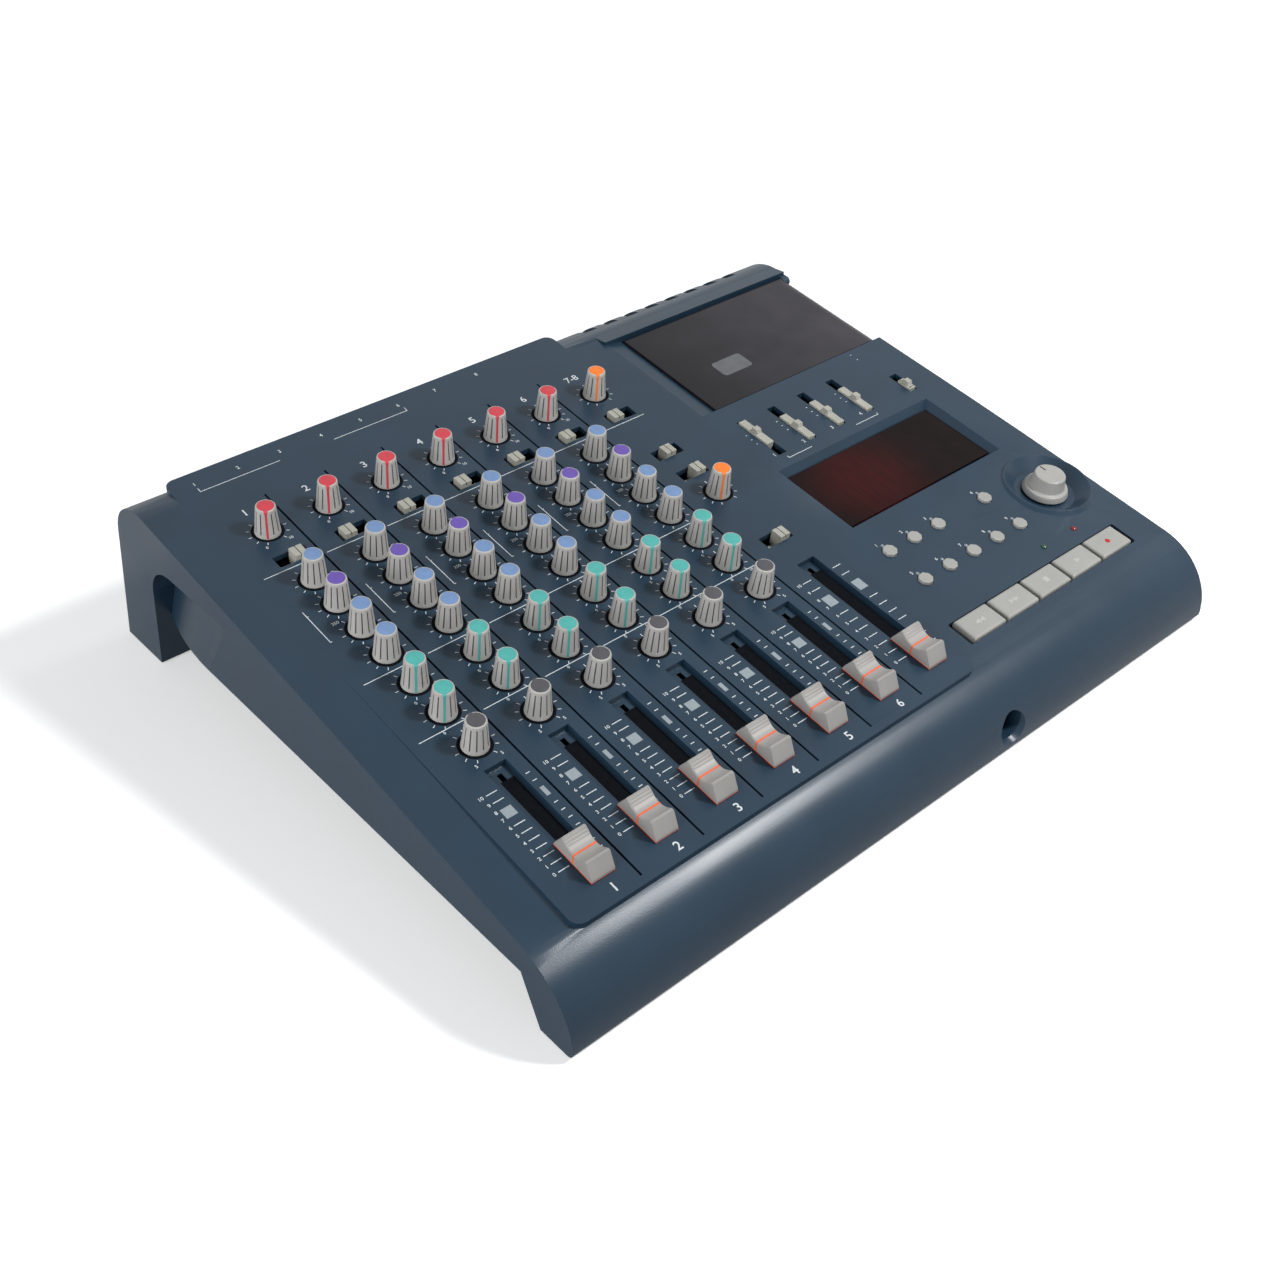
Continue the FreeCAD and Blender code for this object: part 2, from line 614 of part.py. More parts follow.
def name_strip():
    """Low wedge behind the lid, with a rounded outer corner."""
    right = HALF_WIDTH - STRIP_INSET
    corners = [(STRIP_LEFT, BAY_BACK, 1), (right, BAY_BACK, 0), (right, STRIP_BACK, STRIP_CORNER),
               (STRIP_LEFT, STRIP_BACK, 1)]
    plan = Part.Face(rounded_wire(corners, lambda p: Vector(p.x, p.y, -WALL)))
    wedge = across([(BAY_BACK - 1, -WALL, 0), (STRIP_BACK + 1, -WALL, 0), (STRIP_BACK + 1, -STRIP_DROP, 0),
                    (STRIP_BACK, -STRIP_DROP, 0), (BAY_BACK, STRIP_RISE, 0), (BAY_BACK - 1, STRIP_RISE, 0)],
                   (STRIP_LEFT - 1, HALF_WIDTH + 1))
    return plan.extrude(Vector(0, 0, WALL + STRIP_RISE)).common(wedge)


def jack_bay(growth):
    """Space behind the jacks for their plugs, under the overhanging tab."""
    return on_panel(box((PLATEAU_LEFT + 4 - growth, PLATEAU_RIGHT - 4 + growth),
                        (JACK_WALL - growth, JACK_WALL + 60), (JACK_BAY_FLOOR - growth, -TAB_THICKNESS)))


def display_recess(growth):
    """Sloping frame round the display lens."""
    z = skin(DISPLAY_BACK) - DISPLAY_DEPTH - growth
    low = [Vector(x, -row, z) for x, row in display_corners(DISPLAY_TAPER - growth)]
    high = [Vector(x, -row, 2) for x, row in display_corners(-DISPLAY_TAPER * 0.4 - growth)]
    return on_panel(tapered(low, high))


def display_corners(margin):
    """Corners of the display's field inside a margin."""
    left, right = DISPLAY_LEFT + margin, DISPLAY_RIGHT - margin
    back, front = DISPLAY_BACK + margin, DISPLAY_FRONT - margin
    return ((left, back), (left, front), (right, front), (right, back))


def key_recess(growth):
    """Trough that the transport keys sit in."""
    top = skin(KEY_BACK)
    return on_panel(slab((KEY_RECESS_LEFT - growth, KEY_RECESS_RIGHT + growth),
                         (-KEY_FRONT - KEY_GAP - growth, -KEY_BACK + KEY_GAP + growth),
                         (top - KEY_HEIGHT + KEY_RISE - KEY_TRAVEL - KEY_GAP - growth, top + 12), 1.0))


def pitch_dish(growth):
    """Round dish under the pitch control."""
    top = skin(PITCH_KNOB_ROW) + PITCH_RIM_RISE
    depth = PITCH_DISH_DEPTH + PITCH_RIM_RISE + growth
    return on_panel(Part.makeCone(PITCH_DISH_RADIUS - 6 + growth, PITCH_DISH_RADIUS + 0.4 + growth, depth,
                                  Vector(PITCH_KNOB_X, -PITCH_KNOB_ROW, top - depth + 0.1)))


def phones_dish(growth):
    """Round recess of the headphone socket in the nose."""
    dish = peg(0, 0, PHONES_DISH_RADIUS + growth, (0, 20), 20)
    depth = HALF_DEPTH + PHONES_DISH_BACK
    mouth = ring_points([PHONES_DISH_RADIUS + growth + PHONES_DISH_FLARE] * 20, depth + 1)
    dish = dish.fuse(tapered(ring_points([PHONES_DISH_RADIUS + growth - 1] * 20, depth - 4), mouth))
    dish.rotate(Vector(0, 0, 0), Vector(1, 0, 0), 90)
    return moved(dish, PHONES_X, PHONES_DISH_BACK + growth, PHONES_HEIGHT)


def bay_opening():
    """Opening under the lid, through the top and the right side."""
    ramp = Part.Face(Part.makePolygon([Vector(BAY_LEFT - BAY_RAMP, BAY_FRONT, 0),
                                       Vector(BAY_LEFT + 1, BAY_FRONT, 1),
                                       Vector(BAY_LEFT + 1, BAY_FRONT, -BAY_RAMP_DROP),
                                       Vector(BAY_LEFT - BAY_RAMP, BAY_FRONT, 0)]))
    well = box((BAY_LEFT, HALF_WIDTH - WALL), (BAY_FRONT, BAY_BACK), (DECK_FLOOR, 20))
    side = box((BAY_LEFT, HALF_WIDTH + 5), (BAY_FRONT, BAY_BACK), (-LID_WRAP - LID_GAP, 20))
    return [on_panel(ramp.extrude(Vector(0, BAY_BACK - BAY_FRONT, 0))), on_panel(well), on_panel(side)]


def control_openings():
    """Holes and slots for everything that comes through the panel."""
    deep = (-15.0, 5.0)
    hole = KNOB_RADIUS + KNOB_HOLE_GAP
    cuts = [prism(x, -row, hole, deep) for column in knob_places() for x, row in column]
    cuts += [block(x, -row, SWITCH_WINDOW, deep) for x, row in switch_places()]
    for x, travel in fader_places():
        back = -FADER_ZERO + travel + TROUGH_END
        front = -FADER_ZERO - TROUGH_END
        half = TROUGH_WIDTH / 2
        cuts.append(box((x - half, x + half), (front, back), (-TROUGH_DEPTH, 5)))
        reach = (TROUGH_END - LEVER_LENGTH) / 2
        half = FADER_SLOT_WIDTH / 2
        cuts.append(box((x - half, x + half), (front + reach, back - reach), deep))
    for x, row, slot, _ in slot_places():
        cuts.append(block(x, -row - slot[1] / 2, slot, deep))
    hole = BUTTON_RADIUS + BUTTON_GAP
    cuts += [prism(x, -row, hole, deep, BUTTON_SIDES) for x, row in button_places()]
    cuts += [block(x, -(KEY_BACK + KEY_FRONT) / 2, (KEY_STEM + 2 * KEY_STEM_GAP,) * 2, (-30, 5))
             for x in key_places()]
    cuts += [prism(x, -LED_ROW, LED_RADIUS + 0.2, deep) for x in LED_X]
    cuts.append(prism(PITCH_KNOB_X, -PITCH_KNOB_ROW, SHAFT_RADIUS + 0.5, (-30, 5)))
    left, right = DISPLAY_LEFT + DISPLAY_TAPER + LENS_LEDGE, DISPLAY_RIGHT - DISPLAY_TAPER - LENS_LEDGE
    back, front = DISPLAY_BACK + DISPLAY_TAPER + LENS_LEDGE, DISPLAY_FRONT - DISPLAY_TAPER - LENS_LEDGE
    cuts.append(box((left, right), (-front, -back), (-20, 5)))
    return [on_panel(cut) for cut in cuts]


def panel_grooves():
    """Fine grooves between the channels."""
    half = GROOVE_WIDTH / 2
    return [on_panel(box((channel_x(c) + GROOVE_OFFSET - half, channel_x(c) + GROOVE_OFFSET + half),
                         (-GROOVE_FRONT, -GROOVE_BACK), (-GROOVE_DEPTH, 5)))
            for c in range(1, CHANNELS + 1)]


def rear_openings():
    """Jack holes, the power inlet's hole and the vents over the shoulder."""
    hole = prism(0, 0, JACK_HOLE, (-1, WALL + 1))
    hole.rotate(Vector(0, 0, 0), Vector(1, 0, 0), -90)
    cuts = [on_panel(moved(hole, x, JACK_WALL - WALL, z)) for x, z in jack_places()]
    cuts.append(on_back(prism(0, 0, INLET_BORE + 1.6, (-2, WALL + 2))))
    for k in range(VENTS):
        x = VENT_X + k * VENT_PITCH
        cuts.append(box((x - VENT_WIDTH / 2, x + VENT_WIDTH / 2), (VENT_FRONT_Y, HALF_DEPTH),
                        (TRIM_ROW_HEIGHT - 14, TRIM_ROW_HEIGHT + 20)))
    cuts.append(moved(hole, PHONES_X, PHONES_DISH_BACK, PHONES_HEIGHT))
    return cuts


def leg_hollow():
    """Hollow of the left rear leg, open to the case above."""
    low = SOLE + WALL
    high = belly(LEG_FRONT_Y) + 12
    return across([(leg_y(low) + WALL, low, 0), (back_y(low) - WALL * 1.05, low, 0),
                   (back_y(high) - WALL * 1.05, high, 0), (leg_y(high) + WALL, high, 0)],
                  (-HALF_WIDTH + WALL, -HALF_WIDTH + LEG_WIDTH - WALL))


def leg_block():
    """What the main hollow leaves standing round the left rear leg."""
    high = belly(LEG_FRONT_Y) + 5
    return across([(leg_y(-10), -10, 0), (back_y(-10), -10, 0), (back_y(high), high, 0),
                   (leg_y(high), high, 0)], (-HALF_WIDTH, -HALF_WIDTH + LEG_WIDTH))


def case_hollow():
    """Inside of the case, open at the bottom."""
    shoulder, (crown_y, crown_z, _), nose = top_corners()
    hull = [(back_y(-12), -12, 0), shoulder, (crown_y, crown_z, 0), nose, (-HALF_DEPTH, -12, 0)]
    hollow = across(inset(hull, WALL), (-HALF_WIDTH + WALL, HALF_WIDTH - WALL))
    scoop = grip_scoop(WALL)
    leg = leg_block()
    recesses = [jack_bay(WALL), display_recess(WALL * 0.7), key_recess(WALL * 0.7), pitch_dish(WALL * 0.5),
                phones_dish(WALL)]
    return hollow.cut([scoop, mirrored(scoop), leg, mirrored(leg)] + recesses)


def bosses(body):
    """Screw bosses that come down to the base pan, and posts that carry the mixer board."""
    posts = []
    for x, y in SCREW_PLACES:
        posts.append(on_pan(prism(x, y, BOSS_RADIUS, (PAN_THICKNESS, 90))))
    posts += [on_panel(prism(x, -row, POST_RADIUS, (BOARD_TOP, 0))) for x, row in board_posts()]
    posts = [post.common(body) for post in posts]
    holes = [on_pan(prism(x, y, SCREW_RADIUS, (-5, SCREW_LENGTH))) for x, y in SCREW_PLACES]
    return posts, holes


def board_posts():
    """Posts between the controls that the mixer board and the control board hang from."""
    half = PITCH / 2
    mixer = [(channel_x(c) - half, row) for c in (1, 4) for row in (HIGH / 2 + 3, LOW + 10)]
    return mixer + [(MASTER_X + 10, HIGH), (MASTER_X + 10, LOW + 14),
                    (BUTTON_X - 9, BUTTON_LOWER + 11), (BUTTON_X + 3.5 * BUTTON_PITCH, BUTTON_UPPER - 6.2)]


def nose_ribs(body):
    """Stiffening webs in the nose, behind its skin."""
    ribs = []
    for x in NOSE_RIBS:
        width = (x - RIB_THICKNESS / 2, x + RIB_THICKNESS / 2)
        web = box(width, (-HALF_DEPTH, RIB_DEPTH - HALF_DEPTH), (8, 60))
        ribs.append(web.common(body))
    return ribs


def hinge_lug():
    """Knuckle on the right of the lid, and the two pins that the lid turns on."""
    y, z = hinge_y(), hinge_z()
    right = HALF_WIDTH - LUG_WIDTH
    along = Vector(1, 0, 0)
    lug = round_along(along, Vector(right, y, z), HINGE_RADIUS, HALF_WIDTH - right)
    lug = lug.fuse(box((right, HALF_WIDTH), (y, BAY_BACK + 1), (z - HINGE_RADIUS, z + HINGE_RADIUS)))
    pin_right = peg(0, 0, HINGE_PIN_RADIUS, (0, HINGE_PIN_REACH + 1), 12)
    pin_right = sideways(pin_right, right - HINGE_PIN_REACH, y, z)
    pin_left = peg(0, 0, HINGE_PIN_RADIUS, (0, HINGE_PIN_REACH + 1 + LID_GAP), 12)
    pin_left = sideways(pin_left, BAY_LEFT - 1, y, z)
    return [on_panel(lug), on_panel(pin_right), on_panel(pin_left)]


def upper_case():
    """The moulded case: top, sides, nose and legs in one."""
    body = case_body()
    scoop = grip_scoop(0.0)
    leg = leg_hollow()
    case = body.cut([scoop, mirrored(scoop), jack_bay(0.0), display_recess(0.0), key_recess(0.0),
                     pitch_dish(0.0), phones_dish(0.0)])
    case = case.cut([case_hollow(), leg, mirrored(leg)])
    posts, holes = bosses(body)
    case = case.fuse(posts + nose_ribs(body))
    case = case.cut(holes + bay_opening())
    case = case.cut(control_openings())
    case = case.cut(panel_grooves() + rear_openings() + pad_recesses())
    return case.fuse(hinge_lug()).removeSplitter()


# ---- base pan, screws and feet -------------------------------------------------------------------
PAN_TILT = FreeCAD.Rotation(Vector(1, 0, 0), BELLY_RISE)
PAN_PLACE = FreeCAD.Placement(Vector(0, 0, belly(0) + PAN_LIFT), PAN_TILT)


def on_pan(shape):
    """Shape drawn on the base pan's lower face, laid on its slope."""
    laid = shape.copy()
    laid.Placement = PAN_PLACE.multiply(laid.Placement)
    return laid


def pad_places():
    """Middle of each rubber pad on the floor."""
    rear_x = HALF_WIDTH - LEG_WIDTH / 2
    rear_y = (leg_y(0) + back_y(0)) / 2
    front_y = -HALF_DEPTH + WALL + PAD_SIZE[1] / 2 + 1.5
    return [(side * x, y) for x, y in ((rear_x, rear_y), (FRONT_PAD_X, front_y)) for side in (-1, 1)]


def pad_recesses():
    """Shallow seats of the pads in the legs."""
    return [block(x, y, PAD_SIZE, (-1, PAD_THICKNESS)) for x, y in pad_places()]


def phones_blister(growth):
    """Housing under the belly that the headphone socket reaches into."""
    half = JACK_BODY[0] / 2 + 1 + growth
    return box((PHONES_X - half, PHONES_X + half), (BELLY_FRONT_Y - 12, PHONES_DISH_BACK + 36 + growth),
               (PHONES_HEIGHT - half, belly(BELLY_FRONT_Y) + 6))


def base_pan():
    """Bottom pan: belly plate, an apron behind the nose and its sole."""
    side = HALF_WIDTH - WALL - PAN_GAP
    foot_y = BELLY_FRONT_Y - (NOSE_FOOT_DEPTH - WALL) * 0.55
    rear = back_y(belly(back_y(0)) + 2 * PAN_THICKNESS) - WALL * 1.05 - PAN_GAP
    front = -HALF_DEPTH + WALL + PAN_GAP
    bend = BELLY_FRONT_Y - PAN_LIFT
    path = [(rear, belly(rear) + PAN_LIFT), (bend, belly(bend) + PAN_LIFT),
            (foot_y - PAN_LIFT, SOLE), (front, SOLE)]
    pan = across(sheet_outline(path, PAN_THICKNESS), (-side, side))
    blister = phones_blister(1.6).common(box((-side, side), (BELLY_FRONT_Y - 9, HALF_DEPTH), (SOLE, 60)))
    pan = pan.fuse(blister.common(across(sheet_outline(path[1:3], -60), (-side, side)).fuse(
        box((-side, side), (BELLY_FRONT_Y - PAN_LIFT, 0), (0, belly(0) - 1)))))
    scoop = grip_scoop(WALL + PAN_GAP)
    corner = HALF_WIDTH - LEG_WIDTH - PAN_GAP
    leg = box((corner, HALF_WIDTH), (leg_y(40) - PAN_GAP - 4, HALF_DEPTH), (0, 60))
    cuts = [scoop, mirrored(scoop), leg, mirrored(leg), phones_blister(0.0)]
    cuts += [on_pan(prism(x, y, SCREW_RADIUS + 0.2, (-5, 10))) for x, y in SCREW_PLACES]
    return pan.cut(cuts + pad_recesses()).removeSplitter()


def rubber_feet():
    """Pads let into the soles."""
    size = (PAD_SIZE[0] - 0.2, PAD_SIZE[1] - 0.2)
    return [block(x, y, size, (0, PAD_THICKNESS)) for x, y in pad_places()]


# ---- rotary controls -----------------------------------------------------------------------------
def knob():
    """Fluted, tapered knob, standing at the panel frame's origin."""
    star = [1 - (i % 2) * KNOB_FLUTE_DEPTH / KNOB_RADIUS for i in range(2 * KNOB_FLUTES)]
    return tapered(ring_points([KNOB_RADIUS * r for r in star], -KNOB_SUNK),
                   ring_points([KNOB_TOP_RADIUS * r for r in star], KNOB_HEIGHT))


def bored_knob():
    """The same knob with its bore, in which it can turn about the shaft."""
    return knob().cut(prism(0, 0, SHAFT_RADIUS + RUNNING_CLEARANCE, (-KNOB_SUNK - 1, KNOB_BORE_DEPTH)))


def pot(top):
    """Potentiometer on its board with a six-sided shaft that ends at the height top."""
    body = block(0, 0, (POT_SIZE, POT_SIZE), (BOARD_TOP, UNIT_TOP))
    return body.fuse(peg(0, 0, SHAFT_RADIUS, (UNIT_TOP - 1, top), 6))


def pitch_knob():
    """Wide knob with a flange and a raised round cap."""
    low = skin(PITCH_KNOB_ROW) - PITCH_DISH_DEPTH + 0.8
    rim, top = low + PITCH_FLANGE_HEIGHT, low + PITCH_FLANGE_HEIGHT + PITCH_CAP_HEIGHT
    flange = tapered(ring_points([PITCH_FLANGE_RADIUS] * 32, low),
                     ring_points([PITCH_FLANGE_RADIUS - 1.2] * 32, rim))
    cap = tapered(ring_points([PITCH_CAP_RADIUS] * 24, rim - 0.1),
                  ring_points([PITCH_CAP_RADIUS - 1.2] * 24, top))
    bore = prism(0, 0, SHAFT_RADIUS + RUNNING_CLEARANCE, (low - 1, low + 7))
    return flange.fuse(cap).cut(bore)


# ---- faders and slide switches -------------------------------------------------------------------
def fader_cap():
    """Saddle-shaped cap with its lever, at the middle of its own length."""
    half = CAP_LENGTH / 2
    top = CAP_TOP_LENGTH / 2

    def at(y, z):
        return Vector(-CAP_WIDTH / 2, y, z)
    edges = [Part.LineSegment(at(-top, CAP_HEIGHT), at(-half, CAP_LIFT + 1.2)).toShape(),
             Part.LineSegment(at(-half, CAP_LIFT + 1.2), at(-half, CAP_LIFT)).toShape(),
             Part.LineSegment(at(-half, CAP_LIFT), at(half, CAP_LIFT)).toShape(),
             Part.LineSegment(at(half, CAP_LIFT), at(half, CAP_LIFT + 1.2)).toShape(),
             Part.LineSegment(at(half, CAP_LIFT + 1.2), at(top, CAP_HEIGHT)).toShape(),
             Part.Arc(at(top, CAP_HEIGHT), at(0, CAP_WAIST), at(-top, CAP_HEIGHT)).toShape()]
    cap = Part.Face(Part.Wire(edges)).extrude(Vector(CAP_WIDTH, 0, 0))
    return cap.fuse(block(0, 0, (LEVER_THICKNESS, LEVER_LENGTH), (LEVER_FOOT, CAP_LIFT + 1)))


def fader_unit(travel):
    """Slide potentiometer with a channel for its lever, about the cap's zero place."""
    half = FADER_BODY_WIDTH / 2
    ends = (-TROUGH_END, travel + TROUGH_END)
    body = box((-half, half), ends, (BOARD_TOP, UNIT_TOP))
    way = (LEVER_THICKNESS + LEVER_WAY) / 2
    return body.cut(box((-way, way), (ends[0] + 3, ends[1] - 3), (LEVER_FOOT - 0.6, 0)))


def switch_cap(shift):
    """Short slider: two humps side by side on a low plate, shifted from the middle of their window."""
    half, along = SWITCH_CAP[0] / 2, SWITCH_CAP[1] / 2
    notch, foot = SWITCH_CAP_NOTCH[0] / 2, SWITCH_CAP_NOTCH[1]
    outline = [(-half, SWITCH_PLATE_TOP - 1), (half, SWITCH_PLATE_TOP - 1), (half, SWITCH_CAP_RISE),
               (notch, SWITCH_CAP_RISE), (notch, foot), (-notch, foot), (-notch, SWITCH_CAP_RISE),
               (-half, SWITCH_CAP_RISE)]
    points = [Vector(shift + x, -along, z) for x, z in outline]
    humps = Part.Face(Part.makePolygon(points + points[:1])).extrude(Vector(0, 2 * along, 0))
    side = SWITCH_WINDOW[0] / 2 - SWITCH_SIDE_GAP
    return humps.fuse(box((-side, side), (-along, SWITCH_PLATE_REACH), (UNIT_TOP, SWITCH_PLATE_TOP)))


def slide_bar(bar, row):
    """Slide switch bar with a finger nub in the middle, its skin height taken at a row."""
    top = skin(row)
    body = block(0, 0, bar, (UNIT_TOP + 0.2, top + BAR_RISE))
    nub = across([(-NUB_LENGTH / 2, top, 0), (NUB_LENGTH / 2, top, 0),
                  (NUB_LENGTH / 2 - 1.4, top + NUB_RISE, 0), (1.4 - NUB_LENGTH / 2, top + NUB_RISE, 0)],
                 (-bar[0] / 2 + 0.6, bar[0] / 2 - 0.6))
    return body.fuse(nub)


def bar_rest(slot, bar, back_row, at_back):
    """Row of a bar's middle at the back or the front end of its slot."""
    if at_back:
        return back_row + FUNCTION_END_GAP + bar[1] / 2
    return back_row + slot[1] - FUNCTION_END_GAP - bar[1] / 2


# ---- circuit boards ------------------------------------------------------------------------------
def board_level():
    """Thickness of a board below the controls."""
    return BOARD_TOP - BOARD_THICKNESS, BOARD_TOP


def mixer_board():
    """Circuit board that carries the mixer's controls."""
    front = FADER_ZERO + TROUGH_END
    return box((channel_x(1) - 18, MIXER_BOARD_RIGHT), (-front, TRIM + 9), board_level())


def control_board():
    """Board under the recorder's buttons and display, with its switches, lamps and meter bars."""
    z = board_level()
    plate = box((CONTROL_BOARD_LEFT, SPEED_X + 5), (-KEY_FRONT - 1, -FUNCTION_BACK + 1.8), z)
    parts = [plate]
    for x, row in button_places():
        parts.append(block(x, -row, (6, 6), (z[1], button_foot(row) - BUTTON_TRAVEL - 0.1)))
    foot = key_foot() - KEY_TRAVEL - 0.1
    parts += [block(x, -(KEY_BACK + KEY_FRONT) / 2, (6, 6), (z[1], foot)) for x in key_places()]
    for x in LED_X:
        parts.append(peg(x, -LED_ROW, LED_RADIUS, (z[1], skin(LED_ROW) + 0.4)))
    span = DISPLAY_RIGHT - DISPLAY_LEFT - 2 * (DISPLAY_TAPER + LENS_LEDGE) - 8
    left = DISPLAY_LEFT + DISPLAY_TAPER + LENS_LEDGE + 4
    for k in range(METERS):
        x = left + span * (k + 0.5) / METERS
        parts.append(block(x, -(DISPLAY_BACK + DISPLAY_FRONT) / 2, (5.0, 34.0), (z[1], -8.4)))
    return parts


def button_foot(row):
    """Lower end of a round button."""
    return skin(row) - 9.0


def key_foot():
    """Lower end of a transport key's stem."""
    return BOARD_TOP + KEY_TRAVEL + 0.8


# ---- buttons and keys ----------------------------------------------------------------------------
def round_button(row):
    """Button with a low crown and a flange that keeps it under the skin."""
    top = skin(row)
    rim = top - WALL - SEAT_GAP
    stem = prism(0, 0, BUTTON_RADIUS, (rim - 1, top + BUTTON_RISE), BUTTON_SIDES)
    flange = block(0, 0, (2 * BUTTON_RADIUS + 2, 2 * BUTTON_RADIUS + 2), (button_foot(row), rim))
    return stem.fuse(flange)


def transport_key():
    """Key cap with bevelled edges on a square stem."""
    top = skin(KEY_BACK) + KEY_RISE
    shoulder = top - KEY_BEVEL
    low = rectangle(KEY_WIDTH, KEY_DEPTH, shoulder)
    high = rectangle(KEY_WIDTH - 2 * KEY_BEVEL, KEY_DEPTH - 2 * KEY_BEVEL, top)
    cap = block(0, 0, (KEY_WIDTH, KEY_DEPTH), (top - KEY_HEIGHT, shoulder)).fuse(tapered(low, high))
    return cap.fuse(block(0, 0, (KEY_STEM, KEY_STEM), (key_foot(), top - KEY_HEIGHT + 1)))


def rectangle(width, depth, z):
    """Corners of a rectangle about the Z axis."""
    return [Vector(a * width / 2, b * depth / 2, z) for a, b in ((-1, -1), (1, -1), (1, 1), (-1, 1))]


# ---- display -------------------------------------------------------------------------------------
def display_window():
    """Smoked lens that lies on the ledge of its recess."""
    low = skin(DISPLAY_BACK) - DISPLAY_DEPTH
    margin = DISPLAY_TAPER + 0.3
    across = (DISPLAY_LEFT + margin, DISPLAY_RIGHT - margin)
    along = (-DISPLAY_FRONT + margin, -DISPLAY_BACK - margin)
    return box(across, along, (low, low + LENS_THICKNESS))


# ---- cassette deck -------------------------------------------------------------------------------
def cassette_lid():
    """Smoked lid: flat top, short skirts, a rounded hinge edge and a wing over the right side."""
    left = BAY_LEFT + LID_GAP
    front = BAY_FRONT + LID_GAP
    y, z = hinge_y(), hinge_z()

    def at(p):
        return Vector(p.x, front, p.y)
    outline = [(left, -LID_SKIRT, 0), (HALF_WIDTH - LID_SKIN, -LID_SKIRT, 0),
               (HALF_WIDTH - LID_SKIN, -LID_WRAP, 0), (HALF_WIDTH, -LID_WRAP, 0),
               (HALF_WIDTH, 0, LID_CORNER), (left, 0, 0)]
    form = Part.Face(rounded_wire(outline, at)).extrude(Vector(0, y - front, 0))
    room = [(left + LID_SKIN, -LID_SKIRT - 1, 0), (HALF_WIDTH - LID_SKIN, -LID_SKIRT - 1, 0),
            (HALF_WIDTH - LID_SKIN, -LID_SKIN, LID_CORNER - LID_SKIN - 3), (left + LID_SKIN, -LID_SKIN, 0)]
    inside = Part.Face(rounded_wire(room, at)).extrude(Vector(0, y - front - HINGE_RADIUS - LID_SKIN, 0))
    form = form.cut(moved(inside, 0, LID_SKIN))
    end = HALF_WIDTH - LUG_WIDTH - LID_GAP
    form = form.cut(box((end, HALF_WIDTH + 1), (y - HINGE_RADIUS - LID_GAP, y + 5), (-LID_WRAP - 1, 1)))
    form = form.fuse(round_along(Vector(1, 0, 0), Vector(left, y, z), HINGE_RADIUS, end - left))
    reach = HINGE_PIN_REACH + LID_GAP + 0.5
    for start in (left - 1, end - reach):
        bore = prism(0, 0, HINGE_PIN_RADIUS + RUNNING_CLEARANCE, (0, reach + 1), 12)
        form = form.cut(sideways(bore, start, y, z))
    return form.removeSplitter()


def deck_chassis():
    """Tub of the cassette deck with its bearings and locating posts."""
    low = DECK_FLOOR - DECK_PLATE
    right = DECK_RIGHT
    rim = -LID_WRAP - 1
    tub = box((DECK_LEFT, right), (DECK_FRONT, DECK_BACK), (low, DECK_FLOOR))
    walls = [box((DECK_LEFT, DECK_LEFT + DECK_WALL), (DECK_FRONT, DECK_BACK), (low, -WALL)),
             box((DECK_LEFT, right), (DECK_FRONT, DECK_FRONT + DECK_WALL), (low, -WALL)),
             box((DECK_LEFT, right), (DECK_BACK - DECK_WALL, DECK_BACK), (low, -WALL)),
             box((right - DECK_WALL, right), (DECK_FRONT, DECK_BACK), (low, rim)),
             box((right - DECK_WALL, right + DECK_LEDGE), (DECK_FRONT, DECK_BACK), (rim - DECK_WALL, rim))]
    x, y = capstan_place()
    sleeve = peg(x, y, BEARING_RADIUS, (FLYWHEEL_TOP + SEAT_GAP, low + 0.1), 12)
    posts = [peg(post, y + 4, 1.4, (DECK_FLOOR - 0.1, -8)) for post in (x + 9, 2 * deck_middle() - x - 9)]
    tub = tub.fuse(walls + [sleeve] + posts)
    holes = [prism(x, y, CAPSTAN_RADIUS + RUNNING_CLEARANCE, (-60, 0), 12)]
    holes += [prism(hx, hy, SPINDLE_SHAFT + RUNNING_CLEARANCE, (-60, 0), 12) for hx, hy in hub_places()]
    return tub.cut(holes).removeSplitter()


def reel_spindle():
    """Reel table with three splines, a shaft through the chassis and a collar below it."""
    table = DECK_FLOOR + SEAT_GAP
    low = DECK_FLOOR - DECK_PLATE - SEAT_GAP
    parts = [peg(0, 0, SPINDLE_RADIUS, (table, SPINDLE_TOP), 12), peg(0, 0, SPINDLE_SHAFT, (low, table), 12),
             peg(0, 0, SPINDLE_SHAFT + 1.5, (low - 1.2, low), 12)]
    for k in range(3):
        spline = block(SPINDLE_SPLINE / 2, 0, (SPINDLE_SPLINE, 1.2), (table + 1, SPINDLE_TOP - 1))
        spline.rotate(Vector(0, 0, 0), Vector(0, 0, 1), 120 * k)
        parts.append(spline)
    return peg(0, 0, SPINDLE_TABLE, (table, table + 1.5), 24).fuse(parts)


def capstan():
    """Steel capstan with its flywheel."""
    shaft = peg(0, 0, CAPSTAN_RADIUS, (FLYWHEEL_TOP - 1, -6), 12)
    wheel = peg(0, 0, FLYWHEEL_RADIUS, (FLYWHEEL_TOP - FLYWHEEL_THICKNESS, FLYWHEEL_TOP), 32)
    return wheel.fuse(shaft)


def pinch_y():
    """The pinch roller's axle with the head carriage drawn back."""
    return capstan_place()[1] - CAPSTAN_RADIUS - PINCH_RADIUS - HEAD_TRAVEL - PINCH_GAP


def pinch_roller():
    """Rubber roller on its axle."""
    low = DECK_FLOOR + 2.2
    roller = peg(0, 0, PINCH_RADIUS, (low, low + PINCH_HEIGHT), 24)
    return roller.cut(prism(0, 0, PINCH_AXLE + RUNNING_CLEARANCE, (low - 1, low + PINCH_HEIGHT + 1), 12))


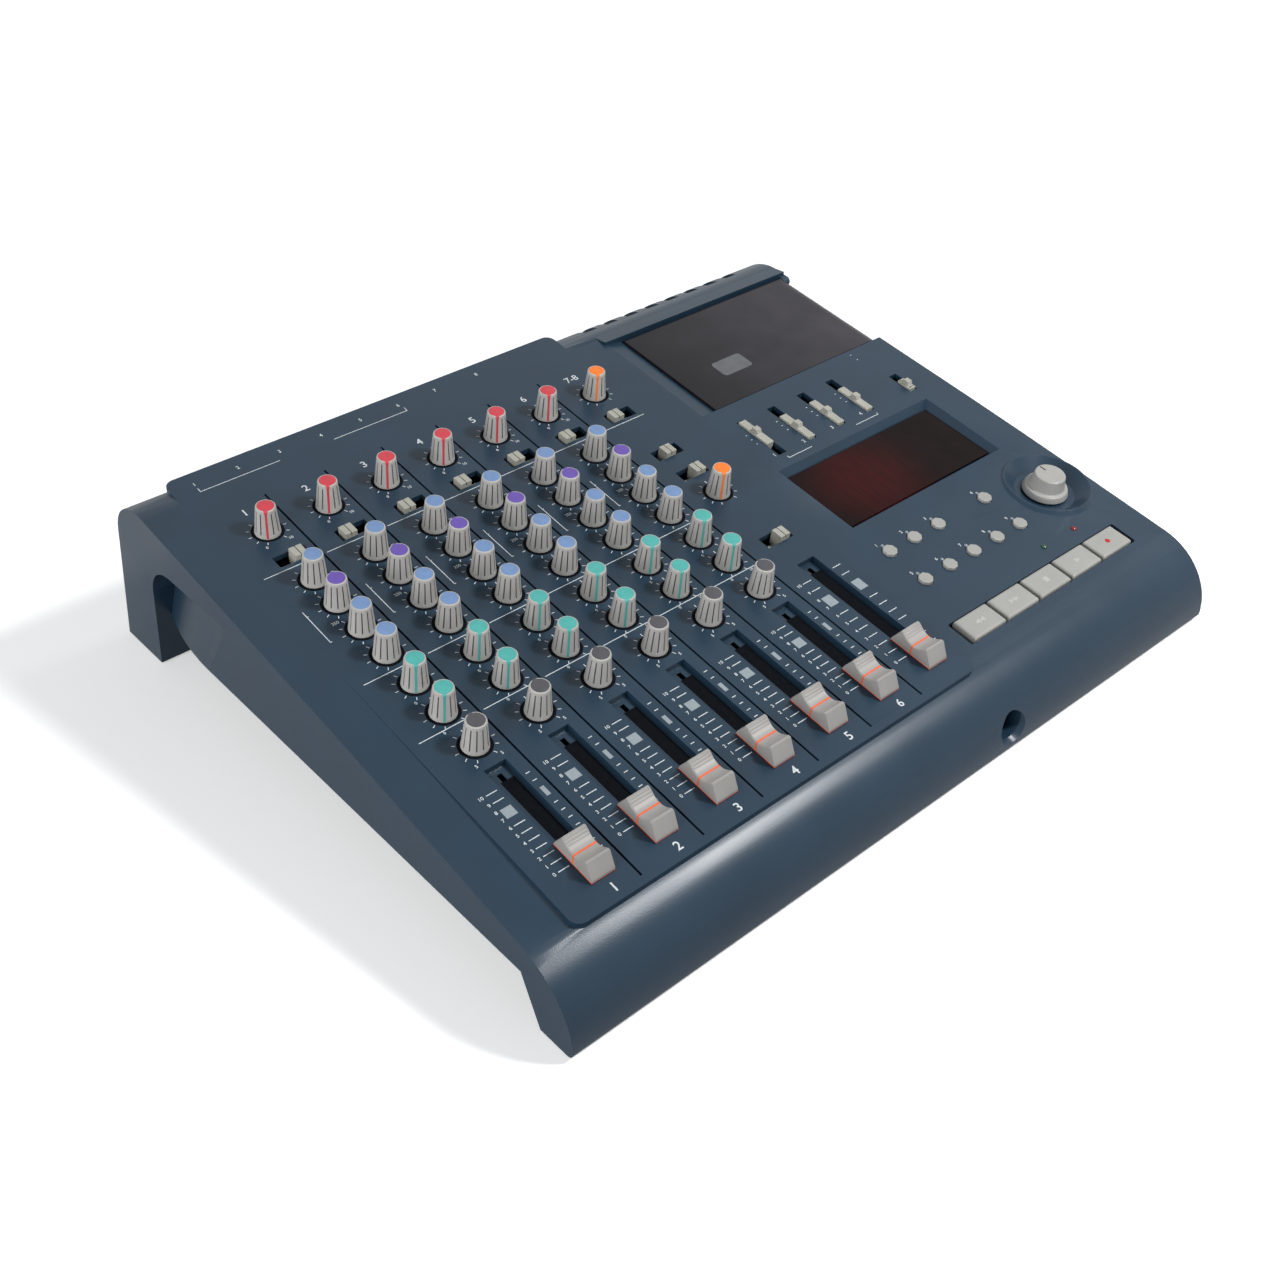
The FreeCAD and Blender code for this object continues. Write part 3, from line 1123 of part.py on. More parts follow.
def head_carriage():
    """Sliding plate with the record head, the erase head and the pinch roller's axle."""
    x = capstan_place()[0]
    middle = deck_middle()
    low = DECK_FLOOR + 0.2
    top = low + 1.6
    front = DECK_FRONT + DECK_WALL + SEAT_GAP
    plate = box((middle + CARRIAGE_LEFT, x + 5), (front, pinch_y() + 4), (low, top))
    tip = CASSETTE_FRONT - 0.6
    width = (middle - HEAD_WIDTH / 2, middle + HEAD_WIDTH / 2)
    head = box(width, (front + 2, tip), (top - 0.1, top + HEAD_HEIGHT))
    head = head.makeChamfer(1.5, [edge for edge in head.Edges if upright(edge)])
    sides = (middle + ERASE_HEAD[0], middle + ERASE_HEAD[1])
    erase = box(sides, (front + 3, tip - 1), (top - 0.1, top + ERASE_HEIGHT))
    axle = peg(x, pinch_y(), PINCH_AXLE, (top - 0.1, top + PINCH_HEIGHT + AXLE_TOP))
    return plate.fuse([head, erase, axle])


def upright(edge):
    """Whether a straight edge stands along Z."""
    return abs(edge.tangentAt(edge.FirstParameter).z) > 0.99


def deck_motor():
    """Motor under the chassis with its pulley."""
    top = DECK_FLOOR - DECK_PLATE
    low = FLYWHEEL_TOP - FLYWHEEL_THICKNESS
    body = peg(MOTOR_X, MOTOR_Y, MOTOR_RADIUS, (top - MOTOR_HEIGHT, top), 24)
    return body.fuse(peg(MOTOR_X, MOTOR_Y, PULLEY_RADIUS, (low, top - MOTOR_HEIGHT + 1), 16))


def belt_area(growth):
    """Flat area inside a belt round the motor pulley and the flywheel."""
    motor = (MOTOR_X, MOTOR_Y)
    wheel = capstan_place()
    small, large = PULLEY_RADIUS + growth, FLYWHEEL_RADIUS + growth
    lean = math.acos((small - large) / math.dist(motor, wheel))
    heading = math.atan2(wheel[1] - motor[1], wheel[0] - motor[0])
    turns = [(wheel, large, heading + lean * (1 - i / BELT_STEPS)) for i in range(2 * BELT_STEPS + 1)]
    rest = (math.pi - lean) / 4
    turns += [(motor, small, heading - lean - rest * i) for i in range(9)]
    points = [Vector(x + r * math.cos(angle), y + r * math.sin(angle), 0) for (x, y), r, angle in turns]
    return Part.Face(Part.makePolygon(points + points[:1]))


def drive_belt():
    """Flat belt from the motor to the flywheel."""
    z = FLYWHEEL_TOP - (FLYWHEEL_THICKNESS + BELT_HEIGHT) / 2
    ring = belt_area(SEAT_GAP + BELT_THICKNESS).cut(belt_area(SEAT_GAP))
    return moved(ring.extrude(Vector(0, 0, BELT_HEIGHT)), 0, 0, z)


# ---- sockets -------------------------------------------------------------------------------------
def jack_places():
    """(x, z) of the jacks in the rear wall."""
    return [(channel_x(c), z) for z, channels in JACK_ROWS for c in channels]


def jack():
    """Quarter inch socket behind a wall whose outer face is at the origin; it opens along +Y."""
    width, length, height = JACK_BODY
    body = box((-width / 2, width / 2), (-WALL - length, -WALL), (-height / 2, height / 2))
    return body.cut(round_along(Vector(0, -1, 0), Vector(0, 0, 0), JACK_BORE, WALL + JACK_BORE_DEPTH))


def jack_sockets():
    """All quarter inch sockets: the rear ones and the headphone socket."""
    sockets = [on_panel(moved(jack(), x, JACK_WALL, z)) for x, z in jack_places()]
    phones = jack()
    phones.rotate(Vector(0, 0, 0), Vector(0, 0, 1), 180)
    return sockets + [moved(phones, PHONES_X, PHONES_DISH_BACK, PHONES_HEIGHT)]


def back_normal():
    """Direction that the leaning back faces."""
    lean = math.radians(REAR_LEAN)
    return Vector(0, math.cos(lean), math.sin(lean))


def on_back(shape):
    """Shape drawn on the inner face of the back, +Z outwards, laid where the power inlet is."""
    laid = shape.copy()
    laid.rotate(Vector(0, 0, 0), Vector(1, 0, 0), REAR_LEAN - 90)
    seat = Vector(INLET_X, back_y(INLET_HEIGHT), INLET_HEIGHT) - back_normal() * WALL
    return moved(laid, *seat)


def power_inlet():
    """Low voltage inlet with its centre pin."""
    body = block(0, 0, (INLET_SIZE, INLET_SIZE), (-INLET_DEPTH, 0))
    body = body.fuse(peg(0, 0, INLET_BORE + 1.5, (-1, WALL)))
    body = body.cut(disc(0, 0, INLET_BORE, (-INLET_DEPTH + 2, WALL + 1)))
    return on_back(body.fuse(peg(0, 0, INLET_PIN, (-INLET_DEPTH + 1, WALL - 1), 6)))


# ---- everything in its place ---------------------------------------------------------------------
def make_case():
    save("upper_case", upper_case())
    save("base_pan", base_pan())
    save("rubber_feet", *rubber_feet())
    save("jack_sockets", *jack_sockets())
    save("power_inlet", power_inlet())


def make_knobs():
    names = ("trim", "eq_high", "eq_mid_frequency", "eq_mid_level", "eq_low", "effect_1", "effect_2", "pan")
    form = bored_knob()
    columns = knob_places()
    for name, (x, row) in zip(names, columns[0]):
        save("knob_" + name, on_panel(moved(form, x, -row)))
    for name, (x, row) in zip(("line_level", "monitor_level"), columns[-1]):
        save("knob_" + name, on_panel(moved(form, x, -row)))
    plain = knob()
    static = [place for column in columns[1:-1] for place in column]
    save("channel_knobs_2_to_6", *[on_panel(moved(plain, x, -row)) for x, row in static])
    save("knob_pitch", on_panel(moved(pitch_knob(), PITCH_KNOB_X, -PITCH_KNOB_ROW)))
    unit = pot(KNOB_BORE_DEPTH - 0.5)
    pots = [moved(unit, x, -row) for x, row in columns[0] + columns[-1]]
    unit = pot(-KNOB_SUNK)
    pots += [moved(unit, x, -row) for x, row in static]
    low = skin(PITCH_KNOB_ROW) - PITCH_DISH_DEPTH
    pots.append(moved(pot(low + 7.3), PITCH_KNOB_X, -PITCH_KNOB_ROW))
    save("rotary_pots", *[on_panel(shape) for shape in pots])


def make_faders():
    names = ["fader_%d" % c for c in range(1, CHANNELS + 1)] + ["fader_master"]
    units = []
    for name, (x, travel) in zip(names, fader_places()):
        save(name, on_panel(moved(fader_cap(), x, -FADER_ZERO)))
        units.append(on_panel(moved(fader_unit(travel), x, -FADER_ZERO)))
    save("fader_units", *units)


def make_switches():
    caps = [on_panel(moved(switch_cap(throw * SWITCH_SHIFT), x, -row))
            for (x, row), throw in zip(switch_places(), SWITCH_THROWS)]
    save("mixer_switch_caps", *caps)
    units = [on_panel(block(x, -row, SWITCH_WINDOW, (BOARD_TOP, UNIT_TOP))) for x, row in switch_places()]
    names = ["record_switch_%d" % k for k in range(1, FUNCTION_COUNT + 1)] + ["tape_speed_switch"]
    for k, (name, (x, row, slot, bar)) in enumerate(zip(names, slot_places())):
        rest = bar_rest(slot, bar, row, k == 0)
        save(name, on_panel(moved(slide_bar(bar, rest), x, -rest)))
        size = (slot[0] + 2, slot[1])
        units.append(on_panel(block(x, -row - slot[1] / 2, size, (BOARD_TOP, UNIT_TOP))))
    save("slide_switch_units", *units)


def make_controls():
    save("mixer_board", on_panel(mixer_board()))
    save("control_board", *[on_panel(shape) for shape in control_board()])
    save("display_window", on_panel(display_window()))
    counts = {"upper": 0, "lower": 0}
    for name, (row, columns) in BUTTON_ROWS.items():
        for k in columns:
            counts[name] += 1
            shape = moved(round_button(row), BUTTON_X + k * BUTTON_PITCH, -row)
            save("button_%s_%d" % (name, counts[name]), on_panel(shape))
    for name, x in zip(KEY_NAMES, key_places()):
        save("key_" + name, on_panel(moved(transport_key(), x, -(KEY_BACK + KEY_FRONT) / 2)))


def make_deck():
    save("cassette_lid", on_panel(cassette_lid()))
    save("deck_chassis", on_panel(deck_chassis()))
    for name, (x, y) in zip(("supply_spindle", "take_up_spindle"), hub_places()):
        save(name, on_panel(moved(reel_spindle(), x, y)))
    x, y = capstan_place()
    save("capstan_flywheel", on_panel(moved(capstan(), x, y)))
    save("pinch_roller", on_panel(moved(pinch_roller(), x, pinch_y())))
    save("head_carriage", on_panel(head_carriage()))
    save("deck_motor", on_panel(deck_motor()))
    save("drive_belt", on_panel(drive_belt()))


os.makedirs("parts", exist_ok=True)
make_case()
make_knobs()
make_faders()
make_switches()
make_controls()
make_deck()
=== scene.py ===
import bmesh
import bpy
import math
import numpy as np
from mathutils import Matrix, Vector


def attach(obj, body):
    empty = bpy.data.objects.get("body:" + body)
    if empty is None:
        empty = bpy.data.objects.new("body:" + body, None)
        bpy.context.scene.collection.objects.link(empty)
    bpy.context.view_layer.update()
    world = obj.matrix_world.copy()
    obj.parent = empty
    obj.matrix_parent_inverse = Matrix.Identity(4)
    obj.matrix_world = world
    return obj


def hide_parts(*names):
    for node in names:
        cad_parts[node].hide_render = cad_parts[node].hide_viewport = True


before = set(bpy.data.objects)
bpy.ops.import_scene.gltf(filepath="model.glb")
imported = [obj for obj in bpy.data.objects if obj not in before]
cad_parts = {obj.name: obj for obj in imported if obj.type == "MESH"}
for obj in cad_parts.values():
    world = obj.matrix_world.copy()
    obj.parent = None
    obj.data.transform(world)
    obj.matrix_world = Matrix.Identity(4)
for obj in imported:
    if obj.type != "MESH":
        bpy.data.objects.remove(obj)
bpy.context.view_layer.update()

# ---- moulded case ---------------------------------------------------------------------------------------
# The upper case is one moulding in slate blue plastic with a fine grain, and the pan screwed under it is the
# same plastic. Their edges are rounded a little, as a mould leaves them. Four rubber pads stand on the table.
MM = 0.001
SLOPE = math.radians(10.7)
TRIM_ROW = np.array([0.0, 83.6, 87.3])
CASE_BLUE = (0.014, 0.034, 0.058, 1)
WEAR = 0.06
GRAIN_STRENGTH = 0.6
WELD = 0.002
FLAT_ANGLE = 0.4


def sloped(points, slope, origin):
    """Millimetres in a tilted frame as metres in the row's frame: a turn about X by slope, then a shift."""
    x, y, z = np.moveaxis(np.asarray(points, float), -1, 0)
    c, s = math.cos(slope), math.sin(slope)
    return (np.stack([x, y * c - z * s, y * s + z * c], -1) + origin) * MM


def on_panel(points):
    """Panel millimetres (x right, y up the slope, z out, from the trim knobs' row) as metres."""
    return sloped(points, SLOPE, TRIM_ROW)


def made(nodes, kind, settings=None, **inputs):
    """New shader node with its settings and its constant inputs, whose names have _ for a space."""
    node = nodes.new(kind)
    for name, value in (settings or {}).items():
        setattr(node, name, value)
    for name, value in inputs.items():
        node.inputs[name.replace("_", " ")].default_value = value
    return node


def finish_of(name, colour, rough, grain=0.0, grain_size=0.4, tone=0.12, tone_size=40.0, metal=0.0,
              shine=0.3):
    """Surface whose colour drifts by tone over tone_size millimetres and whose grain of grain_size
    millimetres lifts it by grain millimetres; its roughness drifts by WEAR with the colour."""
    material = bpy.data.materials.new(name)
    material.use_nodes = True
    nodes, links = material.node_tree.nodes, material.node_tree.links
    shader = nodes["Principled BSDF"]
    shader.inputs["Metallic"].default_value = metal
    shader.inputs["Specular IOR Level"].default_value = shine
    place = made(nodes, "ShaderNodeTexCoord")
    drift = made(nodes, "ShaderNodeTexNoise", Scale=1 / (tone_size * MM), Detail=4)
    links.new(place.outputs["Object"], drift.inputs["Vector"])
    ramp = made(nodes, "ShaderNodeValToRGB", {"name": "tone"})
    for element, position, change in zip(ramp.color_ramp.elements, (0.3, 0.7), (1 - tone, 1 + tone)):
        element.position = position
        element.color = [c * change for c in colour[:3]] + [1]
    links.new(drift.outputs["Fac"], ramp.inputs["Fac"])
    links.new(ramp.outputs["Color"], shader.inputs["Base Color"])
    wear = made(nodes, "ShaderNodeMapRange", To_Min=rough - WEAR, To_Max=rough + WEAR)
    links.new(drift.outputs["Fac"], wear.inputs["Value"])
    links.new(wear.outputs["Result"], shader.inputs["Roughness"])
    if grain:
        pits = made(nodes, "ShaderNodeTexNoise", Scale=1 / (grain_size * MM), Detail=2)
        links.new(place.outputs["Object"], pits.inputs["Vector"])
        bump = made(nodes, "ShaderNodeBump", Distance=grain * MM, Strength=GRAIN_STRENGTH)
        links.new(pits.outputs["Fac"], bump.inputs["Height"])
        links.new(bump.outputs["Normal"], shader.inputs["Normal"])
    return material


def shown(name, mesh, material, body, slot, *stands_for):
    """Puts a finished mesh into the scene as a piece that rides on a body."""
    piece = bpy.data.objects.new(name, mesh)
    bpy.context.scene.collection.objects.link(piece)
    piece.data.materials.clear()
    piece.data.materials.append(material)
    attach(piece, body)
    if stands_for:
        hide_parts(*stands_for)
    return piece


def softened(node, name, material, body, slot, radius=0.5, segments=2, sharp=24.0):
    """A welded copy of a CAD node whose edges above sharp degrees are rounded to radius millimetres."""
    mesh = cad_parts[node].data.copy()
    shell = bmesh.new()
    shell.from_mesh(mesh)
    bmesh.ops.remove_doubles(shell, verts=shell.verts, dist=WELD * MM)
    bmesh.ops.dissolve_limit(shell, angle_limit=math.radians(FLAT_ANGLE), verts=shell.verts,
                             edges=shell.edges)
    shell.to_mesh(mesh)
    shell.free()
    mesh.shade_smooth()
    mesh.set_sharp_from_angle(angle=math.radians(sharp))
    piece = shown(name, mesh, material, body, slot, node)
    if radius:
        bevel = piece.modifiers.new("rounded_edges", "BEVEL")
        bevel.width = radius * MM
        bevel.segments = segments
        bevel.limit_method = "ANGLE"
        bevel.angle_limit = math.radians(sharp)
        bevel.harden_normals = True
    return piece


case_plastic = finish_of("slate_blue_moulding", CASE_BLUE, 0.31, grain=0.045, grain_size=0.5, tone=0.07,
                         shine=0.33)
softened("upper_case", "case_moulding", case_plastic, "case", "case_plastic", radius=0.45)
softened("base_pan", "case_pan", case_plastic, "case", "case_plastic", radius=0.4)
pad_rubber = finish_of("foot_rubber", (0.02, 0.02, 0.02, 1), 0.8, grain=0.05)
softened("rubber_feet", "foot_pads", pad_rubber, "case", "rubber", radius=0.3)

# ---- rotary knobs ---------------------------------------------------------------------------------------
# Each mixer knob is a tapered cap in pale plastic with twelve grooves for the fingers, whose dark grey is
# painted shade. A coloured plug fills its top, and its tongue runs down one groove as the pointer. The knobs
# of channel 1 and the two level knobs are bodies of their own; the other channels' are one group.
PITCH = 31.75
CHANNELS = 6
MASTER_X = 31.4
GROOVES = 12
IVORY = (0.43, 0.42, 0.40, 1)
GROOVE_SHADE_GREY = (0.10, 0.10, 0.11, 1)
CAP_RED = (0.56, 0.055, 0.075, 1)
CAP_BLUE = (0.16, 0.26, 0.46, 1)
CAP_PURPLE = (0.13, 0.08, 0.36, 1)
CAP_TEAL = (0.08, 0.38, 0.35, 1)
CAP_GREY = (0.075, 0.075, 0.085, 1)
CAP_ORANGE = (0.85, 0.20, 0.03, 1)
DOWN_LEFT = math.radians(-150)
PLUG_SIDES = 48
KNOB_ROWS = (("knob_trim", 0.0, CAP_RED, DOWN_LEFT), ("knob_eq_high", 38.6, CAP_BLUE, 0.0),
             ("knob_eq_mid_frequency", 57.0, CAP_PURPLE, 0.0), ("knob_eq_mid_level", 75.7, CAP_BLUE, 0.0),
             ("knob_eq_low", 94.2, CAP_BLUE, 0.0), ("knob_effect_1", 114.7, CAP_TEAL, DOWN_LEFT),
             ("knob_effect_2", 134.5, CAP_TEAL, DOWN_LEFT), ("knob_pan", 156.2, CAP_GREY, 0.0))
MASTER_ROWS = (("knob_line_level", 0.0), ("knob_monitor_level", 94.2))


def grid_faces(rows, columns, start=0):
    """Quads of a rows by columns grid that is closed round its columns, wound so that they face outwards when
    the columns run anticlockwise and the rows run upwards."""
    r, c = np.meshgrid(np.arange(rows - 1), np.arange(columns), indexing="ij")
    n = (c + 1) % columns
    quads = np.stack([r * columns + c, r * columns + n, (r + 1) * columns + n, (r + 1) * columns + c], -1)
    return quads.reshape(-1, 4) + start


def closed_stack(rows, columns, start=0):
    """The same grid with its first and last rings closed by one face each."""
    first = start + np.arange(columns)
    last = first + (rows - 1) * columns
    return [list(f) for f in grid_faces(rows, columns, start)] + [list(first[::-1]), list(last)]


def mesh_of(name, points, faces, sharp=30.0):
    """Mesh from arrays of points and of faces, shaded smooth up to sharp degrees."""
    mesh = bpy.data.meshes.new(name)
    mesh.from_pydata(points.reshape(-1, 3).tolist(), [], [list(map(int, f)) for f in faces])
    mesh.validate()
    mesh.shade_smooth()
    mesh.set_sharp_from_angle(angle=math.radians(sharp))
    return mesh


def turned_to(points, heading, x, y):
    """Points turned clockwise by heading about Z, then shifted along the panel."""
    c, s = math.cos(heading), math.sin(heading)
    px, py, pz = np.moveaxis(points, -1, 0)
    return np.stack([px * c + py * s + x, py * c - px * s + y, pz], -1)


def joined(parts):
    """Several (points, faces) pairs as one pair."""
    points, faces = zip(*parts)
    starts = np.cumsum([0] + [len(p) for p in points])
    return np.concatenate(points), [[i + start for i in f] for start, own in zip(starts, faces) for f in own]


def knob_shell():
    """Skin of a knob: radius falls from 5.95 at the foot to 4.6 at the shoulder and rounds over to the plug.
    Every twelfth of a turn it dips by 0.4 over a width of 0.55, from above the foot to below the shoulder.
    Gives points, faces and, for each point, how much of a groove it lies in, which is also how much painted
    shade it takes."""
    height = np.array([-1.1, 0.2, 0.8, 1.5, 1.9, 2.1, 5, 8, 11, 12.7, 12.9, 13.3, 14.1, 14.6, 14.85, 14.9,
                       14.75])
    radius = np.interp(height, [-1.1, 0.2, 1.0, 2.0, 12.9, 14.1, 14.6],
                       [5.9, 5.95, 5.88, 5.72, 4.68, 4.58, 4.45])
    radius[-3:] = [4.2, 3.9, 3.75]
    depth = np.interp(height, [1.5, 2.1, 12.7, 13.3], [0, 1, 1, 0])
    offsets = np.array([-0.5, -0.3, -0.16, -0.11, -0.07, 0, 0.07, 0.11, 0.16, 0.3])
    dip = np.interp(np.abs(offsets), [0.07, 0.11], [1.0, 0.0])
    turn = ((np.arange(GROOVES)[:, None] + offsets[None, :]) * 2 * math.pi / GROOVES).ravel()
    groove = depth[:, None] * np.tile(dip, GROOVES)[None, :]
    r = radius[:, None] - 0.4 * groove
    skin = np.stack([r * np.sin(turn), r * np.cos(turn), np.broadcast_to(height[:, None], r.shape)], -1)
    skin, groove = skin[:, ::-1], groove[:, ::-1]
    inner = skin[:1] * np.array([0.55, 0.55, 1.0])
    points = np.concatenate([inner + np.array([0, 0, 9.0]), inner, skin])
    groove_shade_share = np.concatenate([np.zeros_like(groove[:2]), groove])
    return points.reshape(-1, 3), closed_stack(*points.shape[:2]), groove_shade_share.ravel()


def plug_shell():
    """Coloured plug: a low crown in the knob's top and a tongue down the groove that points to +Y."""
    turn = np.linspace(0, -2 * math.pi, PLUG_SIDES, endpoint=False)
    rings = np.array([(3.85, 14.45), (3.8, 14.92), (3.5, 15.0), (2.0, 15.1), (0.6, 15.14)])
    crown = np.stack([rings[:, :1] * np.sin(turn), rings[:, :1] * np.cos(turn),
                      np.broadcast_to(rings[:, 1:], (len(rings), PLUG_SIDES))], -1)
    faces = closed_stack(len(rings), PLUG_SIDES)
    height = np.array([0.35, 1.0, 2.1, 6, 12.5, 13.6, 14.6, 15.0, 15.04])
    reach = np.array([5.97, 5.93, 5.75, 5.39, 4.76, 4.70, 4.58, 4.2, 3.2])
    half = np.array([0.5, 0.5, 0.5, 0.5, 0.5, 0.6, 0.8, 0.9, 0.9])
    ribbon = np.stack([np.stack([half, reach, height], -1), np.stack([-half, reach, height], -1),
                       np.stack([-half, reach - 0.6, height - 0.3], -1),
                       np.stack([half, reach - 0.6, height - 0.3], -1)], 1)
    faces += closed_stack(len(height), 4, len(rings) * PLUG_SIDES)
    return np.concatenate([crown.reshape(-1, 3), ribbon.reshape(-1, 3)]), faces


def gathered(points, faces, places):
    """One shape repeated at (heading, x, y) places."""
    return joined([(turned_to(points, heading, x, y), faces) for heading, x, y in places])


def inked(material, attribute, ink):
    """Lets an attribute of the mesh draw the surface's colour towards ink, here a painted shade colour."""
    nodes, links = material.node_tree.nodes, material.node_tree.links
    amount = made(nodes, "ShaderNodeAttribute", {"attribute_name": attribute})
    blend = made(nodes, "ShaderNodeMix", {"data_type": "RGBA"}, B=ink)
    links.new(amount.outputs["Fac"], blend.inputs["Factor"])
    links.new(nodes["tone"].outputs["Color"], blend.inputs["A"])
    links.new(blend.outputs["Result"], nodes["Principled BSDF"].inputs["Base Color"])


knob_plastic = finish_of("ivory_knob_plastic", IVORY, 0.42, grain=0.02, grain_size=0.6, tone=0.05,
                         tone_size=8)
# Painted shade: the groove attribute draws the knobs' grooves towards dark grey.
inked(knob_plastic, "groove", GROOVE_SHADE_GREY)
shell_points, shell_faces, shell_groove_shade = knob_shell()
plug_points, plug_faces = plug_shell()
plug_finishes = {}
for colour in (CAP_RED, CAP_BLUE, CAP_PURPLE, CAP_TEAL, CAP_GREY, CAP_ORANGE):
    plug_finishes[colour] = finish_of("knob_plug_plastic", colour, 0.36, grain=0.01, grain_size=0.5,
                                      tone=0.06, tone_size=3)


def set_knob(name, colour, places, body, stands_for):
    """Knob shells at their places, and their coloured plugs."""
    points, faces = gathered(shell_points, shell_faces, places)
    mesh = mesh_of(name, on_panel(points), faces)
    # Each point's share of the painted groove shade.
    groove_shade_values = mesh.attributes.new("groove", "FLOAT", "POINT")
    groove_shade_values.data.foreach_set("value", np.tile(shell_groove_shade, len(places)))
    shown(name + "_shell", mesh, knob_plastic, body, "control_plastic", *stands_for)
    points, faces = gathered(plug_points, plug_faces, places)
    shown(name + "_plug", mesh_of(name, on_panel(points), faces, 50), plug_finishes[colour], body,
          "control_plastic")


for name, row, colour, heading in KNOB_ROWS:
    set_knob(name, colour, [(heading, (1 - CHANNELS) * PITCH, -row)], name, [name])
for name, row in MASTER_ROWS:
    set_knob(name, CAP_ORANGE, [(DOWN_LEFT, MASTER_X, -row)], name, [name])
for k, (name, row, colour, heading) in enumerate(KNOB_ROWS):
    places = [(heading, (channel - CHANNELS) * PITCH, -row) for channel in range(2, CHANNELS + 1)]
    set_knob(name + "_2_to_6", colour, places, "case", ["channel_knobs_2_to_6"] if k == 0 else [])

# ---- printed scales -------------------------------------------------------------------------------------
# Pale ink on the panel: lines that part the groups of controls, eleven ticks round each knob, the faders'
# scales with their grey nominal fields, and plain numbers. Every mark is a flat film just above the skin.
INK_LIFT = 0.04
LINE = 0.42
BUTTON_X = [70.4 + 17.5 * k for k in range(5)]
BUTTON_ROWS = ((172.2, (0, 1, 2, 4)), (195.0, (0, 1, 2, 3, 4)))
CROWN_ROW = 84.3
TICK_HALF = 0.19
TICK_REACH = (8.0, 9.6)
columns_x = [(channel - CHANNELS) * PITCH for channel in range(1, CHANNELS + 1)]
knob_spots = [(x, row) for x in columns_x for _, row, _, _ in KNOB_ROWS]
knob_spots += [(MASTER_X, row) for _, row in MASTER_ROWS]


def deck_drop(row):
    """Height of the skin on the deck's side, in front of the crown: -(row - 84.3)^2 / 10000."""
    return -np.maximum(np.asarray(row, float) - CROWN_ROW, 0) ** 2 / 10000


def fields(limits):
    """Upright rectangles from rows of (left, right, back row, front row)."""
    left, right, back, front = np.array(limits, float).T
    corners = [np.stack([left, -front], -1), np.stack([right, -front], -1), np.stack([right, -back], -1),
               np.stack([left, -back], -1)]
    return np.stack(corners, 1)


def line_across(row, left, right):
    """Thin field along a row."""
    return (left, right, row - LINE / 2, row + LINE / 2)


def dial_ticks(spots):
    """Eleven ticks, 30 degrees apart, from the near to the far radius about each spot."""
    turn = np.radians(np.arange(-150, 151, 30))
    outward = np.stack([np.sin(turn), np.cos(turn)], -1)
    aside = np.stack([outward[:, 1], -outward[:, 0]], -1) * TICK_HALF
    near, far = outward * TICK_REACH[0], outward * TICK_REACH[1]
    ticks = np.stack([near + aside, far + aside, far - aside, near - aside], 1)
    middles = np.array(spots, float) * [1, -1]
    return (middles[:, None, None, :] + ticks[None]).reshape(-1, 4, 2)


def numeral(text):
    """Outline of a number one unit high about its own middle, as (points, faces)."""
    curve = bpy.data.curves.new("numeral", "FONT")
    curve.body = text
    curve.resolution_u = 3
    curve.offset = 0.012
    writing = bpy.data.objects.new("numeral", curve)
    mesh = bpy.data.meshes.new_from_object(writing)
    points = np.array([v.co[:2] for v in mesh.vertices])
    faces = [list(p.vertices) for p in mesh.polygons]
    low, high = points.min(0), points.max(0)
    bpy.data.objects.remove(writing)
    return (points - (low + high) / 2) / (high[1] - low[1]), faces


def fader_scale(x, zero, step, left, right, number_x):
    """Ticks at both sides of a trough, ten steps up from the row of zero, with a field from 7 to 8."""
    rows = [zero - step * k for k in range(11) if k not in (7, 8)]
    marks = [line_across(row, x + side[0], x + side[1]) for row in rows for side in (left, right)]
    back, front = zero - 8 * step - 0.3, zero - 7 * step + 0.3
    marks += [(x + side[0], x + side[1], back, front) for side in (left, right)]
    numbers = [(str(k), x + number_x - (0.5 if k == 10 else 0), zero - step * k, 1.8) for k in range(11)]
    return marks, numbers


marks = [(-169.5, -128.05, -40.62, -40.2), (-98.4, -56.0, -40.62, -40.2), (-169.7, -169.3, -43.2, -40.2),
         (-56.2, -55.8, -43.2, -40.2)]
marks += [line_across(26.8, x - 17.9, x + 10.6) for x in columns_x + [MASTER_X]]
marks += [line_across(row, x - 17.7, x + 10.6) for row in (103.9, 142.9) for x in columns_x]
marks += [(x - 15.5, x - 15.1, 53.5, 75.6) for x in columns_x]
marks += [line_across(row, x - 15.3, x - 14.5) for row in (57.1, 75.4) for x in columns_x]
numbers = [(str(k + 1), x, -46.5, 2.3) for k, x in enumerate((-169.4, -146.9, -124.7, -101.9, -79.5, -57.5))]
numbers += [("7", -34.8, -46.9, 2.3), ("8", -9.2, -46.9, 2.3), ("7-8", 29.9, -17.0, 4.3)]
numbers += [(str(k + 1), x - 2.0, -16.5, 4.4) for k, x in enumerate(columns_x)]
numbers += [(str(k + 1), x + 0.45, 241.8, 4.4) for k, x in enumerate(columns_x)]
for x in columns_x:
    found = fader_scale(x, 224.5, 4.47, (-12.2, -7.0), (7.1, 9.1), -14.0)
    marks += found[0]
    numbers += found[1]
    numbers += [("10", x + 6.4, 9.4, 1.7), ("0", x - 6.0, 9.6, 1.7), ("250", x - 7.6, 66.8, 1.7)]
    numbers += [("5", x + side * 6.3, 165.6, 1.7) for side in (-1, 1)]
    numbers += [(text, x + side, row + 9.6, 1.6)
                for row in (114.7, 134.5) for text, side in (("0", -6.2), ("10", 6.4))]
found = fader_scale(MASTER_X, 224.5, 5.93, (-12.7, -7.4), (6.9, 12.1), -14.4)
marks += found[0]
numbers += found[1]

ink = finish_of("pale_ink", (0.58, 0.62, 0.64, 1), 0.5, tone=0.1, tone_size=2)
field_grey = finish_of("field_ink", (0.27, 0.31, 0.34, 1), 0.5, tone=0.06, tone_size=2)


